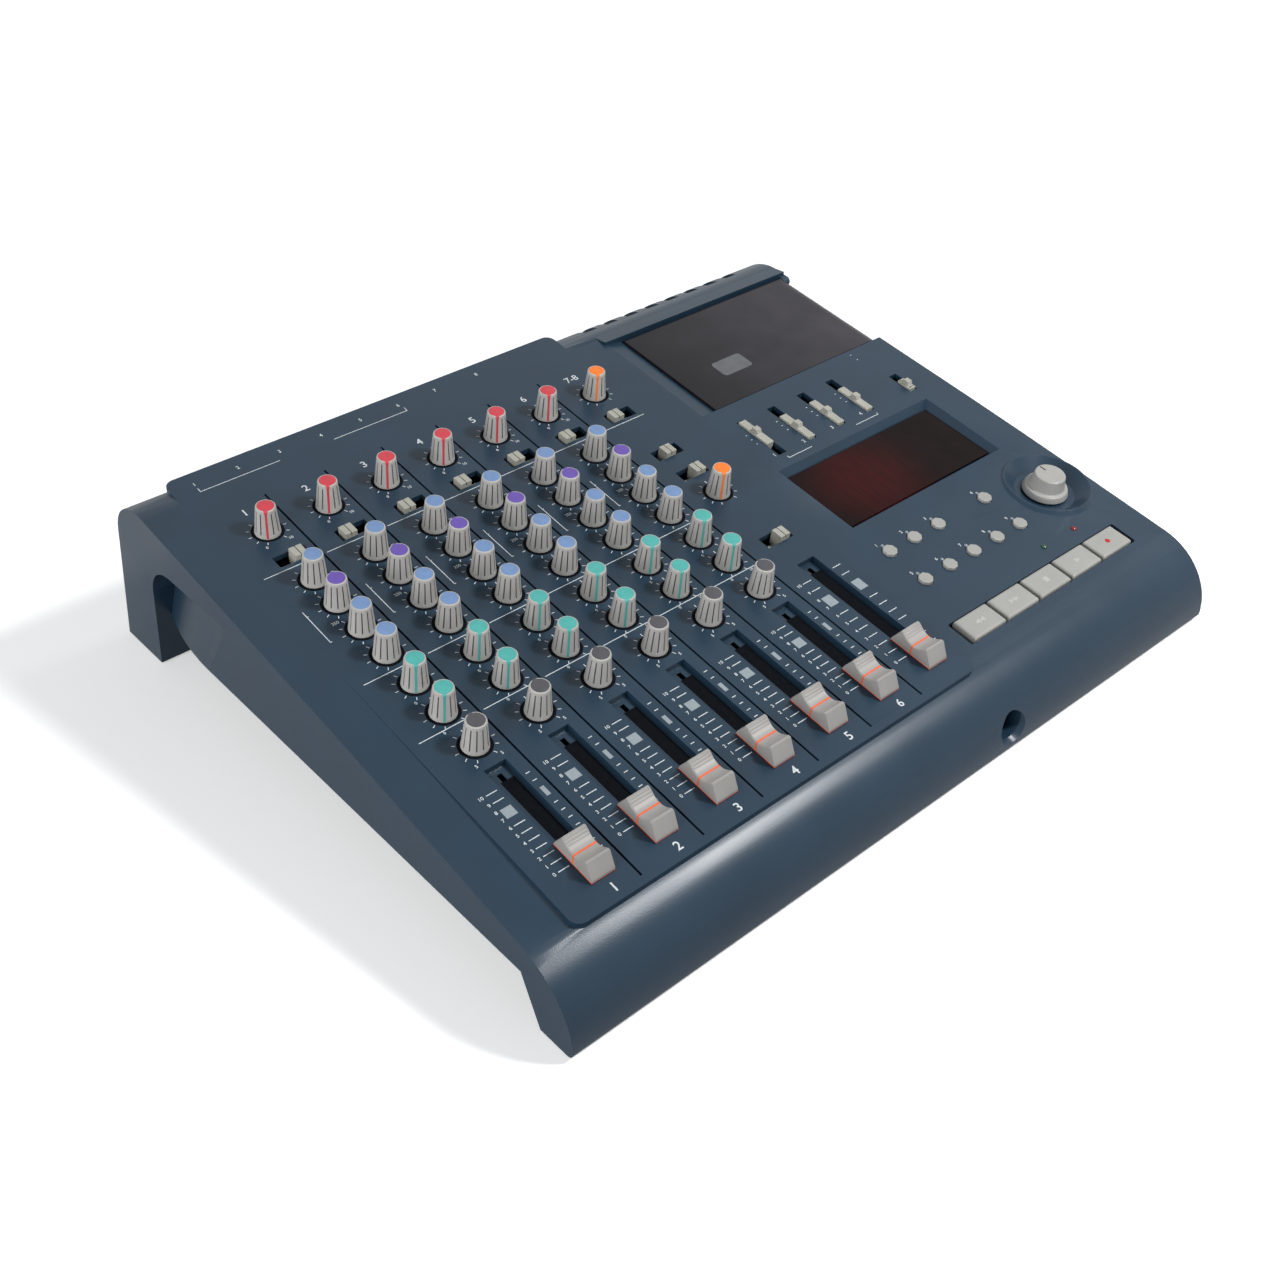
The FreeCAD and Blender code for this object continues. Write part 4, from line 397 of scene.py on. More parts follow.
def films(name, quads, material, lift=INK_LIFT, drop=False):
    """Flat films from panel quads (n, 4, 2), laid on the panel's plane or on the deck's skin."""
    height = deck_drop(-quads[..., 1]) if drop else np.zeros(quads.shape[:2])
    points = np.concatenate([quads, height[..., None] + lift], -1)
    faces = np.arange(points.shape[0] * 4).reshape(-1, 4)
    shown(name, mesh_of(name, on_panel(points), faces), material, "case", "control_plastic")


def numbered(name, labels, drop=False):
    """Numbers from (text, x, row, height), gathered in one film."""
    outlines = {text: numeral(text) for text in dict.fromkeys(label[0] for label in labels)}
    parts = []
    for text, x, row, height in labels:
        shape, outline = outlines[text]
        level = float(deck_drop(row)) if drop else 0.0
        points = np.column_stack([shape * height + [x, -row], np.full(len(shape), level + INK_LIFT)])
        parts.append((points, outline))
    points, faces = joined(parts)
    shown(name, mesh_of(name, on_panel(points), faces), ink, "case", "control_plastic")


thin = [m for m in marks if min(m[1] - m[0], m[3] - m[2]) < 1.5]
films("scale_lines", np.concatenate([fields(thin), dial_ticks(knob_spots)]), ink)
films("nominal_fields", fields([m for m in marks if m not in thin]), field_grey)
numbered("mixer_numbers", numbers)
track_numbers = [(str(k + 1), x, 88.9, 2.3) for k, x in enumerate((75.2, 96.05, 116.85, 138.4))]
track_numbers += [(str(k + 1), BUTTON_X[spot] - 2.4, 165.6, 1.9) for k, spot in enumerate(BUTTON_ROWS[0][1])]
track_numbers += [(str(k + 5), x - 2.4, 188.4, 1.9) for k, x in enumerate(BUTTON_X)]
numbered("deck_numbers", track_numbers, drop=True)
bracket = [line_across(94.5, 80.1, 96.4), line_across(94.5, 129.3, 146.05), (80.0, 80.4, 93.0, 94.5),
           (145.8, 146.2, 93.0, 94.5)]
bracket += [line_across(row, 73.6 + 21.8 * k, 74.5 + 21.8 * k)
            for k in range(4) for row in (69.5, 73.5, 77.5)]
bracket += [line_across(row, 172.9, 173.9) for row in (48.6, 53.6)]
films("track_bracket", fields(bracket), ink, drop=True)

# ---- painted shade in the panel's gaps ------------------------------------------------------------------
# Painted shade: black films stand for the shade in the clearance round each knob, in the slots of the
# faders' troughs and on the floors of the grooves between the channels. All of them are thin films.
painted_shade_and_pointer_black = finish_of("painted_shade_and_pointer_black", (0.004, 0.005, 0.007, 1), 0.8, tone=0.3, tone_size=2, shine=0.05)


def collars(spots, inner, outer, sides=40):
    """Flat rings between two radii about the spots, one quad to each side."""
    turn = np.linspace(0, 2 * math.pi, sides, endpoint=False)
    rim = np.stack([np.cos(turn), np.sin(turn)], -1)
    following = np.roll(rim, -1, 0)
    ring = np.stack([rim * inner, rim * outer, following * outer, following * inner], 1)
    middles = np.array(spots, float) * [1, -1]
    return (middles[:, None, None, :] + ring[None]).reshape(-1, 4, 2)


# Painted shade: black rings in the clearance round each knob.
films("knob_gap_shade", collars(knob_spots, 6.05, 7.5), painted_shade_and_pointer_black, lift=0.02)
# Painted shade: black strips on the floors of the grooves between the channels.
groove_limits = [(x + 11.62, x + 12.58, -22.9, 243.9) for x in columns_x]
films("groove_shadows", fields(groove_limits), painted_shade_and_pointer_black, lift=-0.77)
# Painted shade: black films on the troughs' floors stand for the dark slots.
slot_limits = [(x - 2.2, x + 4.4, 176.0, 235.2) for x in columns_x]
slot_limits.append((MASTER_X - 2.2, MASTER_X + 4.4, 160.7, 235.2))
films("trough_slot_shade", fields(slot_limits), painted_shade_and_pointer_black, lift=-2.96)

# ---- faders ---------------------------------------------------------------------------------------------
# A fader's cap is a saddle in pale warm grey plastic, higher at both ends, with two fine ridges on each
# slope, an orange line inlaid across its middle and an orange rim round its foot. It rides on the lever of
# a slide pot under the panel, in a dark trough.
FADER_GREY = (0.31, 0.30, 0.285, 1)
LINE_ORANGE = (0.75, 0.13, 0.05, 1)
fader_plastic = finish_of("fader_cap_plastic", FADER_GREY, 0.42, grain=0.02, grain_size=0.5, tone=0.04,
                          tone_size=10)
line_paint = finish_of("fader_line_paint", LINE_ORANGE, 0.5, tone=0.1, tone_size=3)
FADER_ROW = 224.8
CAP_HALF = (5.7, 11.5)


def saddle_height(y):
    """Height of a fader cap along its length: a saddle of 5.4 + 3.2 (y/6.4)^2 up to flat crests, two ridges
    on each slope, and steep ends."""
    y = np.abs(y)
    saddle = 5.4 + 3.2 * np.minimum(y / 6.4, 1) ** 2
    ridges = 0.16 * np.exp(-((y - 4.0) / 0.2) ** 2) + 0.16 * np.exp(-((y - 5.2) / 0.2) ** 2)
    return np.where(y < 7.5, saddle + ridges, 8.6 - (y - 7.5) / 4.0 * 7.1)


def fader_shape():
    """Cap as a closed loft along its length: each section is a rectangle with cut top corners, whose top
    follows the saddle and whose sides draw in by pinch at both ends."""
    y = np.concatenate([[-11.5, -11.45], np.linspace(-11.2, -7.9, 7), [-7.5], np.linspace(-7.3, 7.3, 85),
                        [7.5], np.linspace(7.9, 11.2, 7), [11.45, 11.5]])
    pinch = np.where(np.abs(y) > 11.47, 0.35, np.where(np.abs(y) > 11.4, 0.1, 0.0))
    half = CAP_HALF[0] - pinch
    low = 0.3 + pinch
    top = saddle_height(y) - pinch
    across = [(-1, low, 0), (-1, top - 0.5, 0), (-1, top, 0.5), (1, top, 0.5), (1, top - 0.5, 0), (1, low, 0)]
    ring = np.stack([np.stack([side * (half - inset), y, np.broadcast_to(h, y.shape)], -1)
                     for side, h, inset in across], 1)
    return ring.reshape(-1, 3), closed_stack(len(y), len(across))


def fader_line():
    """Thin strip over the cap's middle from its left foot edge to its right one."""
    half, waist = CAP_HALF[0] + 0.02, 5.4
    path = np.array([(-half, 0.6), (-half, waist - 0.5), (-half + 0.5, waist + 0.04),
                     (half - 0.5, waist + 0.04), (half, waist - 0.5), (half, 0.6)])
    near = np.stack([path[:, 0], np.full(len(path), -0.45), path[:, 1]], -1)
    faces = [[i, i + 1, len(path) + i + 1, len(path) + i] for i in range(len(path) - 1)]
    return np.concatenate([near, near * [1, -1, 1]]), faces


def fader_rim():
    """Band round the cap's foot, 0.05 outside it and 0.45 high."""
    half = np.array(CAP_HALF) + 0.05
    corners = np.array([(-1, -1), (1, -1), (1, 1), (-1, 1)]) * half
    rows = [np.column_stack([corners, np.full(4, height)]) for height in (0.3, 0.75)]
    return np.concatenate(rows), [list(f) for f in grid_faces(2, 4)]


FADER_PARTS = (("_cap", fader_shape(), fader_plastic), ("_line", fader_line(), line_paint),
               ("_rim", fader_rim(), line_paint))
for channel in range(1, CHANNELS + 2):
    name = "fader_%d" % channel if channel <= CHANNELS else "fader_master"
    x = columns_x[channel - 1] if channel <= CHANNELS else MASTER_X
    for part, (points, faces), paint in FADER_PARTS:
        mesh = mesh_of(name + part, on_panel(points + [x, -FADER_ROW, 0]), faces, 40)
        shown(name + part, mesh, paint, name, "control_plastic", *([name] if part == "_cap" else []))
fader_tracks = finish_of("fader_track_black", (0.006, 0.006, 0.008, 1), 0.6, tone=0.1)
softened("fader_units", "fader_tracks", fader_tracks, "case", "black_plastic", radius=0)

# ---- slide switches -------------------------------------------------------------------------------------
# The mixer's ten short switches are caps with two humps, set in black windows. The recorder's five long
# ones are bars with a finger nub. All are one ivory plastic, and slide on black units under the panel.
switch_plastic = finish_of("switch_cap_plastic", (0.37, 0.365, 0.32, 1), 0.45, grain=0.02, tone=0.06,
                           tone_size=5)
window_black = finish_of("switch_window_black", (0.008, 0.008, 0.01, 1), 0.6, tone=0.2)
softened("mixer_switch_caps", "short_switch_caps", switch_plastic, "case", "control_plastic", radius=0.35,
         segments=3)
softened("slide_switch_units", "slide_switch_bodies", window_black, "case", "black_plastic", radius=0)
for node in ["record_switch_%d" % k for k in range(1, 5)] + ["tape_speed_switch"]:
    softened(node, node + "_bar", switch_plastic, node, "control_plastic", radius=0.35)

# ---- circuit boards and pots, seen only through the openings --------------------------------------------
# The boards are green glass fibre under a clear lacquer, fixed inside the case. The pots that stand on them
# are pressed metal.
board_green = finish_of("board_lacquer", (0.03, 0.12, 0.05, 1), 0.4, tone=0.2, tone_size=4)
pot_metal = finish_of("pot_metal", (0.35, 0.35, 0.36, 1), 0.4, tone=0.1, metal=0.9)
for node in ("mixer_board", "control_board"):
    softened(node, node + "_lacquered", board_green, "case", "board", radius=0)
softened("rotary_pots", "pot_bodies", pot_metal, "case", "metal", radius=0)

# ---- display --------------------------------------------------------------------------------------------
# A nearly black lens of clear red plastic lies in a bevelled frame. A painted red glow, emitted by the lens
# itself, lies on it in upright streaks round one spot, in metres, and fades out over a few centimetres.
PAINTED_GLOW_SPOT = (0.105, -0.040, 0.066)
PAINTED_GLOW_START = 0.004
PAINTED_GLOW_END = 0.046
PAINTED_GLOW_PEAK = 0.075
PAINTED_GLOW_RED = (1.0, 0.012, 0.010, 1)
PAINTED_GLOW_STREAKS = (1400, 60, 60)
lens_red = finish_of("display_lens", (0.006, 0.002, 0.002, 1), 0.08, tone=0.3, tone_size=12, shine=0.08)
nodes, links = lens_red.node_tree.nodes, lens_red.node_tree.links
place = made(nodes, "ShaderNodeTexCoord")
stretch = made(nodes, "ShaderNodeMapping", Scale=PAINTED_GLOW_STREAKS)
links.new(place.outputs["Object"], stretch.inputs["Vector"])
painted_glow_streaks = made(nodes, "ShaderNodeTexNoise", Scale=1.0, Detail=3)
links.new(stretch.outputs["Vector"], painted_glow_streaks.inputs["Vector"])
away = made(nodes, "ShaderNodeVectorMath", {"operation": "DISTANCE"})
away.inputs[1].default_value = PAINTED_GLOW_SPOT
links.new(place.outputs["Object"], away.inputs[0])
painted_glow_fade = made(nodes, "ShaderNodeMapRange", {"interpolation_type": "SMOOTHSTEP"}, From_Min=PAINTED_GLOW_END,
            From_Max=PAINTED_GLOW_START, To_Max=PAINTED_GLOW_PEAK)
links.new(away.outputs["Value"], painted_glow_fade.inputs["Value"])
painted_glow = made(nodes, "ShaderNodeMath", {"operation": "MULTIPLY"})
links.new(painted_glow_fade.outputs["Result"], painted_glow.inputs[0])
links.new(painted_glow_streaks.outputs["Fac"], painted_glow.inputs[1])
# Painted glow: the lens emits this red light itself, with no lamp behind it.
nodes["Principled BSDF"].inputs["Emission Color"].default_value = PAINTED_GLOW_RED
links.new(painted_glow.outputs["Value"], nodes["Principled BSDF"].inputs["Emission Strength"])
softened("display_window", "display_lens", lens_red, "case", "red_lens", radius=0.2)

# ---- buttons, keys and lights ---------------------------------------------------------------------------
# The round buttons and the five transport keys are one ivory plastic. A small dome of clear plastic stands
# behind each button, and its pale grey is a painted highlight. The keys bear shallow signs, the record key a
# red dot, and two tinted lights stand behind the last two keys.
KEY_X = [70.1 + 24.2 * k for k in range(5)]
KEY_ROW = 228.6
KEY_TOP = -0.63
key_plastic = finish_of("key_plastic", (0.32, 0.32, 0.30, 1), 0.42, grain=0.02, tone=0.04, tone_size=10)
ROUND_NAMES = ["button_upper_%d" % k for k in range(1, 5)] + ["button_lower_%d" % k for k in range(1, 6)]
KEY_NAMES = ["key_rewind", "key_fast_forward", "key_stop", "key_play", "key_record"]
LIGHTS = (("play_light", 137.5, (0.01, 0.05, 0.03, 1)), ("record_light", 161.2, (0.16, 0.004, 0.008, 1)))
for node in ROUND_NAMES + KEY_NAMES:
    softened(node, node + "_cap", key_plastic, node, "control_plastic", radius=0.5, segments=3)


def dome(x, row, radius, height, sides=20):
    """Low dome on the deck's skin: rings of radius r cos(a) at height h sin(a)."""
    rise = np.radians([-20, 0, 25, 50, 70, 85])[:, None]
    turn = np.linspace(0, 2 * math.pi, sides, endpoint=False)[None, :]
    points = np.stack([x + radius * np.cos(rise) * np.cos(turn), -row + radius * np.cos(rise) * np.sin(turn),
                       deck_drop(row) + height * np.sin(rise) + 0 * turn], -1)
    return points.reshape(-1, 3), closed_stack(len(rise), sides)


# Painted highlight: the pips' pale grey stands for a glint.
pip_highlight_grey = finish_of("pip_plastic_painted_highlight", (0.22, 0.25, 0.28, 1), 0.25, tone=0.1, tone_size=2)
points, faces = joined([dome(BUTTON_X[k], row - 4.9, 0.85, 0.5) for row, used in BUTTON_ROWS for k in used])
shown("button_pips", mesh_of("pips", on_panel(points), faces), pip_highlight_grey, "case", "control_plastic")
for name, x, colour in LIGHTS:
    points, faces = dome(x, 212.6, 1.62, 1.0)
    lens = finish_of(name + "_lens", colour, 0.15, tone=0.1, shine=0.5)
    shown(name, mesh_of(name, on_panel(points), faces), lens, "case", "control_plastic")


def arrow(x, y, size):
    """Triangle that points to +X, or to -X with a negative size."""
    return [(x - size / 2, y - abs(size) / 2), (x + size / 2, y), (x - size / 2, y + abs(size) / 2)]


turn = np.linspace(0, 2 * math.pi, 25)[:-1]
signs = {"key_rewind": [arrow(-1.6, 0, -3), arrow(1.4, 0, -3)],
         "key_fast_forward": [arrow(-1.4, 0, 3), arrow(1.6, 0, 3)],
         "key_stop": [[(-1.5, -1.5), (1.5, -1.5), (1.5, 1.5), (-1.5, 1.5)]],
         "key_play": [arrow(0, 0, 3.4)],
         "key_record": [np.column_stack([1.35 * np.cos(turn), 1.35 * np.sin(turn)])]}
sign_grey = finish_of("key_sign", (0.42, 0.42, 0.39, 1), 0.5, tone=0.1, tone_size=2)
sign_red = finish_of("record_dot", (0.42, 0.015, 0.01, 1), 0.4, tone=0.1, tone_size=2)
for k, node in enumerate(KEY_NAMES):
    flat = np.concatenate(signs[node])
    starts = np.cumsum([0] + [len(outline) for outline in signs[node]])
    faces = [list(range(a, b)) for a, b in zip(starts[:-1], starts[1:])]
    points = np.column_stack([flat + [KEY_X[k], -KEY_ROW], np.full(len(flat), KEY_TOP + INK_LIFT)])
    paint = sign_red if node == "key_record" else sign_grey
    shown(node + "_sign", mesh_of(node + "_sign", on_panel(points), faces), paint, node, "control_plastic")

# ---- pitch control --------------------------------------------------------------------------------------
# A wide pale plastic knob with a flange and a raised cap turns in a round dish. A short black line on the
# cap points back.
pitch_plastic = finish_of("pitch_knob_plastic", (0.34, 0.335, 0.32, 1), 0.35, grain=0.01, grain_size=0.6,
                          tone=0.05, tone_size=8)
softened("knob_pitch", "pitch_knob_cap", pitch_plastic, "knob_pitch", "accent_plastic", radius=0.9,
         segments=4)
PITCH_SPOT = (176.8, -183.2, 6.12)
pointer = np.array([(-0.35, 3.2, 0), (0.35, 3.2, 0), (0.35, 6.8, 0), (-0.35, 6.8, 0)]) + PITCH_SPOT
pointer_mesh = mesh_of("pitch_pointer", on_panel(pointer + [0, 0, INK_LIFT]), [[0, 1, 2, 3]])
shown("pitch_pointer", pointer_mesh, painted_shade_and_pointer_black, "knob_pitch", "accent_plastic")

# ---- cassette deck --------------------------------------------------------------------------------------
# A smoked plastic lid hinges over a black well with two spindles, a steel capstan, its rubber roller and the
# head carriage. Painted shade darkens the lid from right to left between two places in metres, and it bears a
# bare, paler grey film.
PAINTED_SHADE_START = 0.076
PAINTED_SHADE_END = 0.185
PAINTED_SHADE_MOST = 0.78
PAINTED_SHADE_BLACK = (0.004, 0.004, 0.006, 1)
lid_smoke_with_painted_shade = finish_of("lid_smoke_with_painted_shade", (0.042, 0.039, 0.046, 1), 0.16, tone=0.18, tone_size=22, shine=0.15)
nodes, links = lid_smoke_with_painted_shade.node_tree.nodes, lid_smoke_with_painted_shade.node_tree.links
place = made(nodes, "ShaderNodeTexCoord")
parts = made(nodes, "ShaderNodeSeparateXYZ")
links.new(place.outputs["Object"], parts.inputs["Vector"])
# Painted shade: the lid's colour is drawn towards black from right to left along X.
depth = made(nodes, "ShaderNodeMapRange", From_Min=PAINTED_SHADE_START, From_Max=PAINTED_SHADE_END, To_Min=PAINTED_SHADE_MOST,
             To_Max=0.0)
links.new(parts.outputs["X"], depth.inputs["Value"])
smoke_and_painted_shade = made(nodes, "ShaderNodeMix", {"data_type": "RGBA"}, B=PAINTED_SHADE_BLACK)
links.new(depth.outputs["Result"], smoke_and_painted_shade.inputs["Factor"])
links.new(nodes["tone"].outputs["Color"], smoke_and_painted_shade.inputs["A"])
links.new(smoke_and_painted_shade.outputs["Result"], nodes["Principled BSDF"].inputs["Base Color"])
deck_black = finish_of("deck_black", (0.012, 0.012, 0.014, 1), 0.5, grain=0.03, tone=0.2)
spindle_grey = finish_of("spindle_plastic", (0.45, 0.46, 0.47, 1), 0.45, tone=0.05)
steel = finish_of("turned_steel", (0.55, 0.55, 0.56, 1), 0.25, tone=0.08, tone_size=3, metal=1.0)
roller_rubber = finish_of("roller_rubber", (0.015, 0.015, 0.015, 1), 0.7, tone=0.1)
softened("cassette_lid", "lid_smoked", lid_smoke_with_painted_shade, "cassette_lid", "smoked_lid", radius=0.5, segments=3)
LID_PALE_PATCH = (101.0, 13.0, 121.5, 25.5)
PALE_PATCH_CORNER = 2.2


def label_outline(left, back, right, front, corner):
    """Rounded rectangle as panel points, eight to each quarter round about its own middle."""
    middles = np.array([(right - corner, -back - corner), (left + corner, -back - corner),
                        (left + corner, -front + corner), (right - corner, -front + corner)])
    angle = np.linspace(0, math.pi / 2, 8) + np.arange(4)[:, None] * math.pi / 2
    return (middles[:, None] + corner * np.stack([np.cos(angle), np.sin(angle)], -1)).reshape(-1, 2)


# A paler grey rounded film lies on the lid.
pale_patch_points = label_outline(*LID_PALE_PATCH, PALE_PATCH_CORNER)
pale_patch_points = np.column_stack([pale_patch_points, np.full(len(pale_patch_points), INK_LIFT)])
pale_patch_grey = finish_of("lid_pale_patch_film", (0.11, 0.115, 0.125, 1), 0.35, tone=0.12, tone_size=6)
pale_patch_mesh = mesh_of("lid_pale_patch", on_panel(pale_patch_points), [list(range(len(pale_patch_points)))])
shown("lid_pale_patch", pale_patch_mesh, pale_patch_grey, "cassette_lid", "smoked_lid")
softened("deck_chassis", "deck_tub", deck_black, "case", "black_plastic", radius=0.2, segments=1)
for node in ("supply_spindle", "take_up_spindle"):
    softened(node, node + "_moulding", spindle_grey, node, "spindle_plastic", radius=0.2)
softened("capstan_flywheel", "capstan_turned", steel, "capstan_flywheel", "metal", radius=0.1)
softened("pinch_roller", "pinch_roller_rubber", roller_rubber, "pinch_roller", "rubber", radius=0.3)
softened("head_carriage", "head_carriage_plate", steel, "head_carriage", "metal", radius=0.1)
softened("deck_motor", "deck_motor_can", pot_metal, "case", "metal", radius=0.3)
softened("drive_belt", "drive_belt_rubber", roller_rubber, "case", "rubber", radius=0)

# ---- rear sockets ---------------------------------------------------------------------------------------
# Quarter inch sockets in black plastic stand behind the rear wall, with the low voltage inlet, and one in
# the nose for headphones. A nickel plated bushing and a nut hold each rear socket to the wall.
socket_black = finish_of("socket_plastic", (0.012, 0.012, 0.013, 1), 0.35, tone=0.1)
softened("jack_sockets", "jack_socket_bodies", socket_black, "case", "black_plastic", radius=0)
softened("power_inlet", "power_inlet_body", socket_black, "case", "black_plastic", radius=0)
JACK_ROWS = ((-15.5, range(1, 7)), (-34.0, range(3, 7)))
WALL_FACE = 46.0
PHONES_SPOT = (51.7, -168.0, 15.0)
NUT_SIDES = 6


def ring_along(profile, sides, axis, spot, turn=0.0):
    """Closed turned ring: the (radius, distance) profile swept round an axis, a unit vector, from a spot. Six
    sides give a nut, and more give a round bushing."""
    axis = np.asarray(axis, float)
    across = np.cross(axis, [1.0, 0, 0])
    upright = np.cross(axis, across)
    angle = turn + np.linspace(0, 2 * math.pi, sides, endpoint=False)
    outward = np.cos(angle)[:, None] * across + np.sin(angle)[:, None] * upright
    radius, reach = np.array(profile, float).T
    points = radius[:, None, None] * outward[None] + reach[:, None, None] * axis + spot
    faces = grid_faces(len(profile) + 1, sides) % (len(profile) * sides)
    return points.reshape(-1, 3), [list(f) for f in faces]


BUSHING = ((3.35, 0.0), (3.35, 2.5), (3.6, 2.7), (4.0, 2.7), (4.0, 0.0))
NUT = ((4.05, 0.0), (4.05, 1.8), (5.6, 1.8), (6.3, 1.4), (6.3, 0.0))
PHONES_RING = ((3.4, 0.0), (3.4, 1.6), (3.8, 2.0), (5.9, 1.2), (6.5, 0.0))
jack_spots = [((channel - CHANNELS) * PITCH, WALL_FACE, z) for z, used in JACK_ROWS for channel in used]
nickel = finish_of("nickel_plate", (0.50, 0.49, 0.46, 1), 0.28, tone=0.08, tone_size=3, metal=1.0)
points, faces = joined([ring_along(BUSHING, 32, (0, 1, 0), spot) for spot in jack_spots])
shown("jack_bushings", mesh_of("jack_bushings", on_panel(points), faces), nickel, "case", "metal")
points, faces = joined([ring_along(NUT, NUT_SIDES, (0, 1, 0), spot, 0.3 * k)
                        for k, spot in enumerate(jack_spots)])
shown("jack_nuts", mesh_of("jack_nuts", on_panel(points), faces), nickel, "case", "metal")
points, faces = ring_along(PHONES_RING, 40, (0, -1, 0), PHONES_SPOT)
shown("phones_ring", mesh_of("phones_ring", points * MM, faces), socket_black, "case", "black_plastic")

# ---- screws of the pan ----------------------------------------------------------------------------------
# Five dark plated steel screws with domed heads and crossed slots hold the pan under the case. They hang
# from the pan's lower face, which tilts a little.
PAN_TILT = math.radians(1.2)
PAN_ORIGIN = (0, 0, 28.85)
HEAD_SIDES = 48
SCREW_PLACES = ((-187.0, -118.0), (51.55, -118.0), (191.5, -122.0), (-142.9, 102.0), (60.0, 122.0))


def screw_head():
    """Domed head that hangs down from z 0: radius 3, 1.7 high, with a cross sunk by 0.7 into its crown."""
    rise = np.array([0.0, 0.35, 0.7, 1.0, 1.25, 1.45, 1.57])
    turn = np.linspace(0, 2 * math.pi, HEAD_SIDES, endpoint=False)
    radius = 3.0 * np.cos(rise)
    x, y = radius[:, None] * np.cos(turn), radius[:, None] * np.sin(turn)
    cross = (np.minimum(np.abs(x), np.abs(y)) < 0.35) & (np.hypot(x, y) < 1.7)
    z = -1.7 * np.sin(rise)[:, None] + 0.7 * cross
    points = np.stack([x, y, z], -1)[:, ::-1].reshape(-1, 3)
    return points, closed_stack(len(rise), HEAD_SIDES)


head_points, head_faces = screw_head()
points, faces = joined([(head_points + [x, y, 0], head_faces) for x, y in SCREW_PLACES])
screw_steel = finish_of("screw_steel", (0.10, 0.10, 0.11, 1), 0.35, tone=0.1, tone_size=3, metal=1.0)
screws_mesh = mesh_of("pan_screws", sloped(points, PAN_TILT, PAN_ORIGIN), faces, 40)
shown("pan_screws", screws_mesh, screw_steel, "case", "metal")

# ---- floor, light and camera ----------------------------------------------------------------------------
# The floor and the room are white paper to the camera and through glass, paler in reflections and dim as a
# source of light. A small weak lamp hangs high on the right, a small stronger one in front on the right
# lights the nose, and a broad one low on the left fills in without being mirrored.
FLOOR_SIZE = 6.0
FLOOR_DIM = (0.22, 0.22, 0.23, 1)
FLOOR_MIRRORED = 0.4
HAZE_START = 0.42
HAZE_END = 1.1
HAZE_LEAST = 0.34
ROOM_TINT = (0.93, 0.97, 1, 1)
ROOM_LIGHT = 0.20
ROOM_MIRRORED = 0.9


def shows_white(nodes, links, mirrored):
    """Share of white: 1 for rays from the camera or through glass, mirrored for those in reflections, and 0
    for the light itself."""
    seen = made(nodes, "ShaderNodeLightPath")
    value = seen.outputs["Is Camera Ray"]
    for kind, share in (("Is Glossy Ray", mirrored), ("Is Transmission Ray", 1.0)):
        either = made(nodes, "ShaderNodeMath", {"operation": "MULTIPLY_ADD"})
        either.inputs[1].default_value = share
        links.new(seen.outputs[kind], either.inputs[0])
        links.new(value, either.inputs[2])
        value = either.outputs["Value"]
    return value


grid = np.array([(-1, -1, 0), (1, -1, 0), (1, 1, 0), (-1, 1, 0)]) * FLOOR_SIZE / 2
floor_mesh = bpy.data.meshes.new("floor")
floor_mesh.from_pydata(grid.tolist(), [], [[0, 1, 2, 3]])
floor = bpy.data.objects.new("floor", floor_mesh)
bpy.context.scene.collection.objects.link(floor)
paper = bpy.data.materials.new("white_paper")
paper.use_nodes = True
nodes, links = paper.node_tree.nodes, paper.node_tree.links
nodes["Principled BSDF"].inputs["Base Color"].default_value = FLOOR_DIM
nodes["Principled BSDF"].inputs["Roughness"].default_value = 0.9
matt = made(nodes, "ShaderNodeBsdfDiffuse", Color=(0.95, 0.95, 0.95, 1))
sheen = made(nodes, "ShaderNodeEmission", Color=(1, 1, 1, 1))
bright = made(nodes, "ShaderNodeAddShader")
place = made(nodes, "ShaderNodeTexCoord")
away = made(nodes, "ShaderNodeVectorMath", {"operation": "LENGTH"})
links.new(place.outputs["Object"], away.inputs[0])
haze = made(nodes, "ShaderNodeMapRange", {"interpolation_type": "SMOOTHSTEP"}, From_Min=HAZE_START,
            From_Max=HAZE_END, To_Min=HAZE_LEAST)
links.new(away.outputs["Value"], haze.inputs["Value"])
links.new(haze.outputs["Result"], sheen.inputs["Strength"])
links.new(matt.outputs["BSDF"], bright.inputs[0])
links.new(sheen.outputs["Emission"], bright.inputs[1])
choice = made(nodes, "ShaderNodeMixShader")
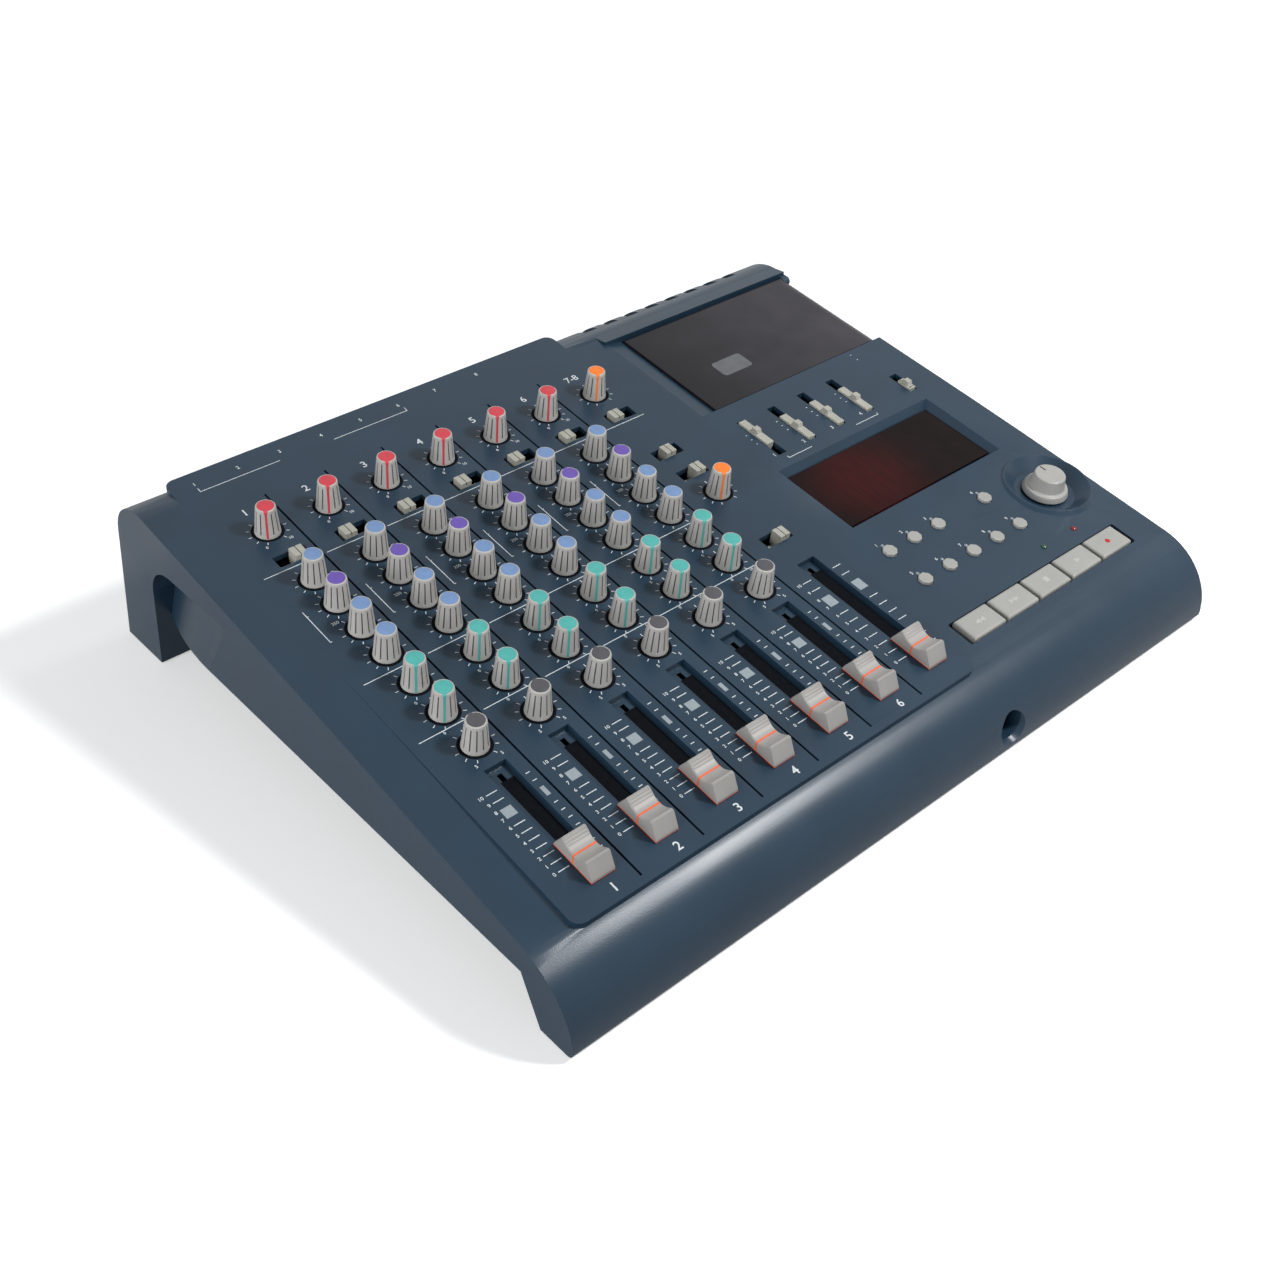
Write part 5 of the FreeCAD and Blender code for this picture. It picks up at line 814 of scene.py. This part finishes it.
links.new(shows_white(nodes, links, FLOOR_MIRRORED), choice.inputs["Fac"])
links.new(nodes["Principled BSDF"].outputs["BSDF"], choice.inputs[1])
links.new(bright.outputs["Shader"], choice.inputs[2])
links.new(choice.outputs["Shader"], nodes["Material Output"].inputs["Surface"])
floor.data.materials.append(paper)

world = bpy.data.worlds.new("studio")
bpy.context.scene.world = world
world.use_nodes = True
nodes, links = world.node_tree.nodes, world.node_tree.links
nodes["Background"].inputs["Color"].default_value = ROOM_TINT
nodes["Background"].inputs["Strength"].default_value = ROOM_LIGHT
backdrop = made(nodes, "ShaderNodeBackground", Color=(1, 1, 1, 1))
choice = made(nodes, "ShaderNodeMixShader")
links.new(shows_white(nodes, links, ROOM_MIRRORED), choice.inputs["Fac"])
links.new(nodes["Background"].outputs["Background"], choice.inputs[1])
links.new(backdrop.outputs["Background"], choice.inputs[2])
links.new(choice.outputs["Shader"], nodes["World Output"].inputs["Surface"])


def soft_lamp(name, place, target, size, power):
    """Square area lamp at place, turned to face target."""
    data = bpy.data.lights.new(name, "AREA")
    data.size = size
    data.energy = power
    lamp = bpy.data.objects.new(name, data)
    bpy.context.scene.collection.objects.link(lamp)
    lamp.rotation_euler = Vector(np.subtract(target, place)).to_track_quat("-Z", "Y").to_euler()
    lamp.location = place
    return lamp


soft_lamp("overhead_lamp", (0.95, -0.28, 1.2), (0, 0, 0.05), 0.3, 2)
soft_lamp("nose_lamp", (0.46, -0.66, 0.95), (-0.1, -0.16, 0.07), 0.16, 12)
side_lamp = soft_lamp("left_lamp", (-1.6, -0.4, 0.5), (0, 0, 0.05), 1.2, 26)
side_lamp.visible_glossy = False

bpy.context.scene.view_settings.view_transform = "Standard"
camera_data = bpy.data.cameras.new("photo_view")
camera_data.sensor_width = 36.0
camera_data.lens = 42.282
camera = bpy.data.objects.new("photo_view", camera_data)
bpy.context.scene.collection.objects.link(camera)
camera.location = (-0.40061, -0.46138, 0.44686)
camera.rotation_euler = [math.radians(a) for a in (53.3168, 1.3386, -41.0363)]
bpy.context.scene.camera = camera
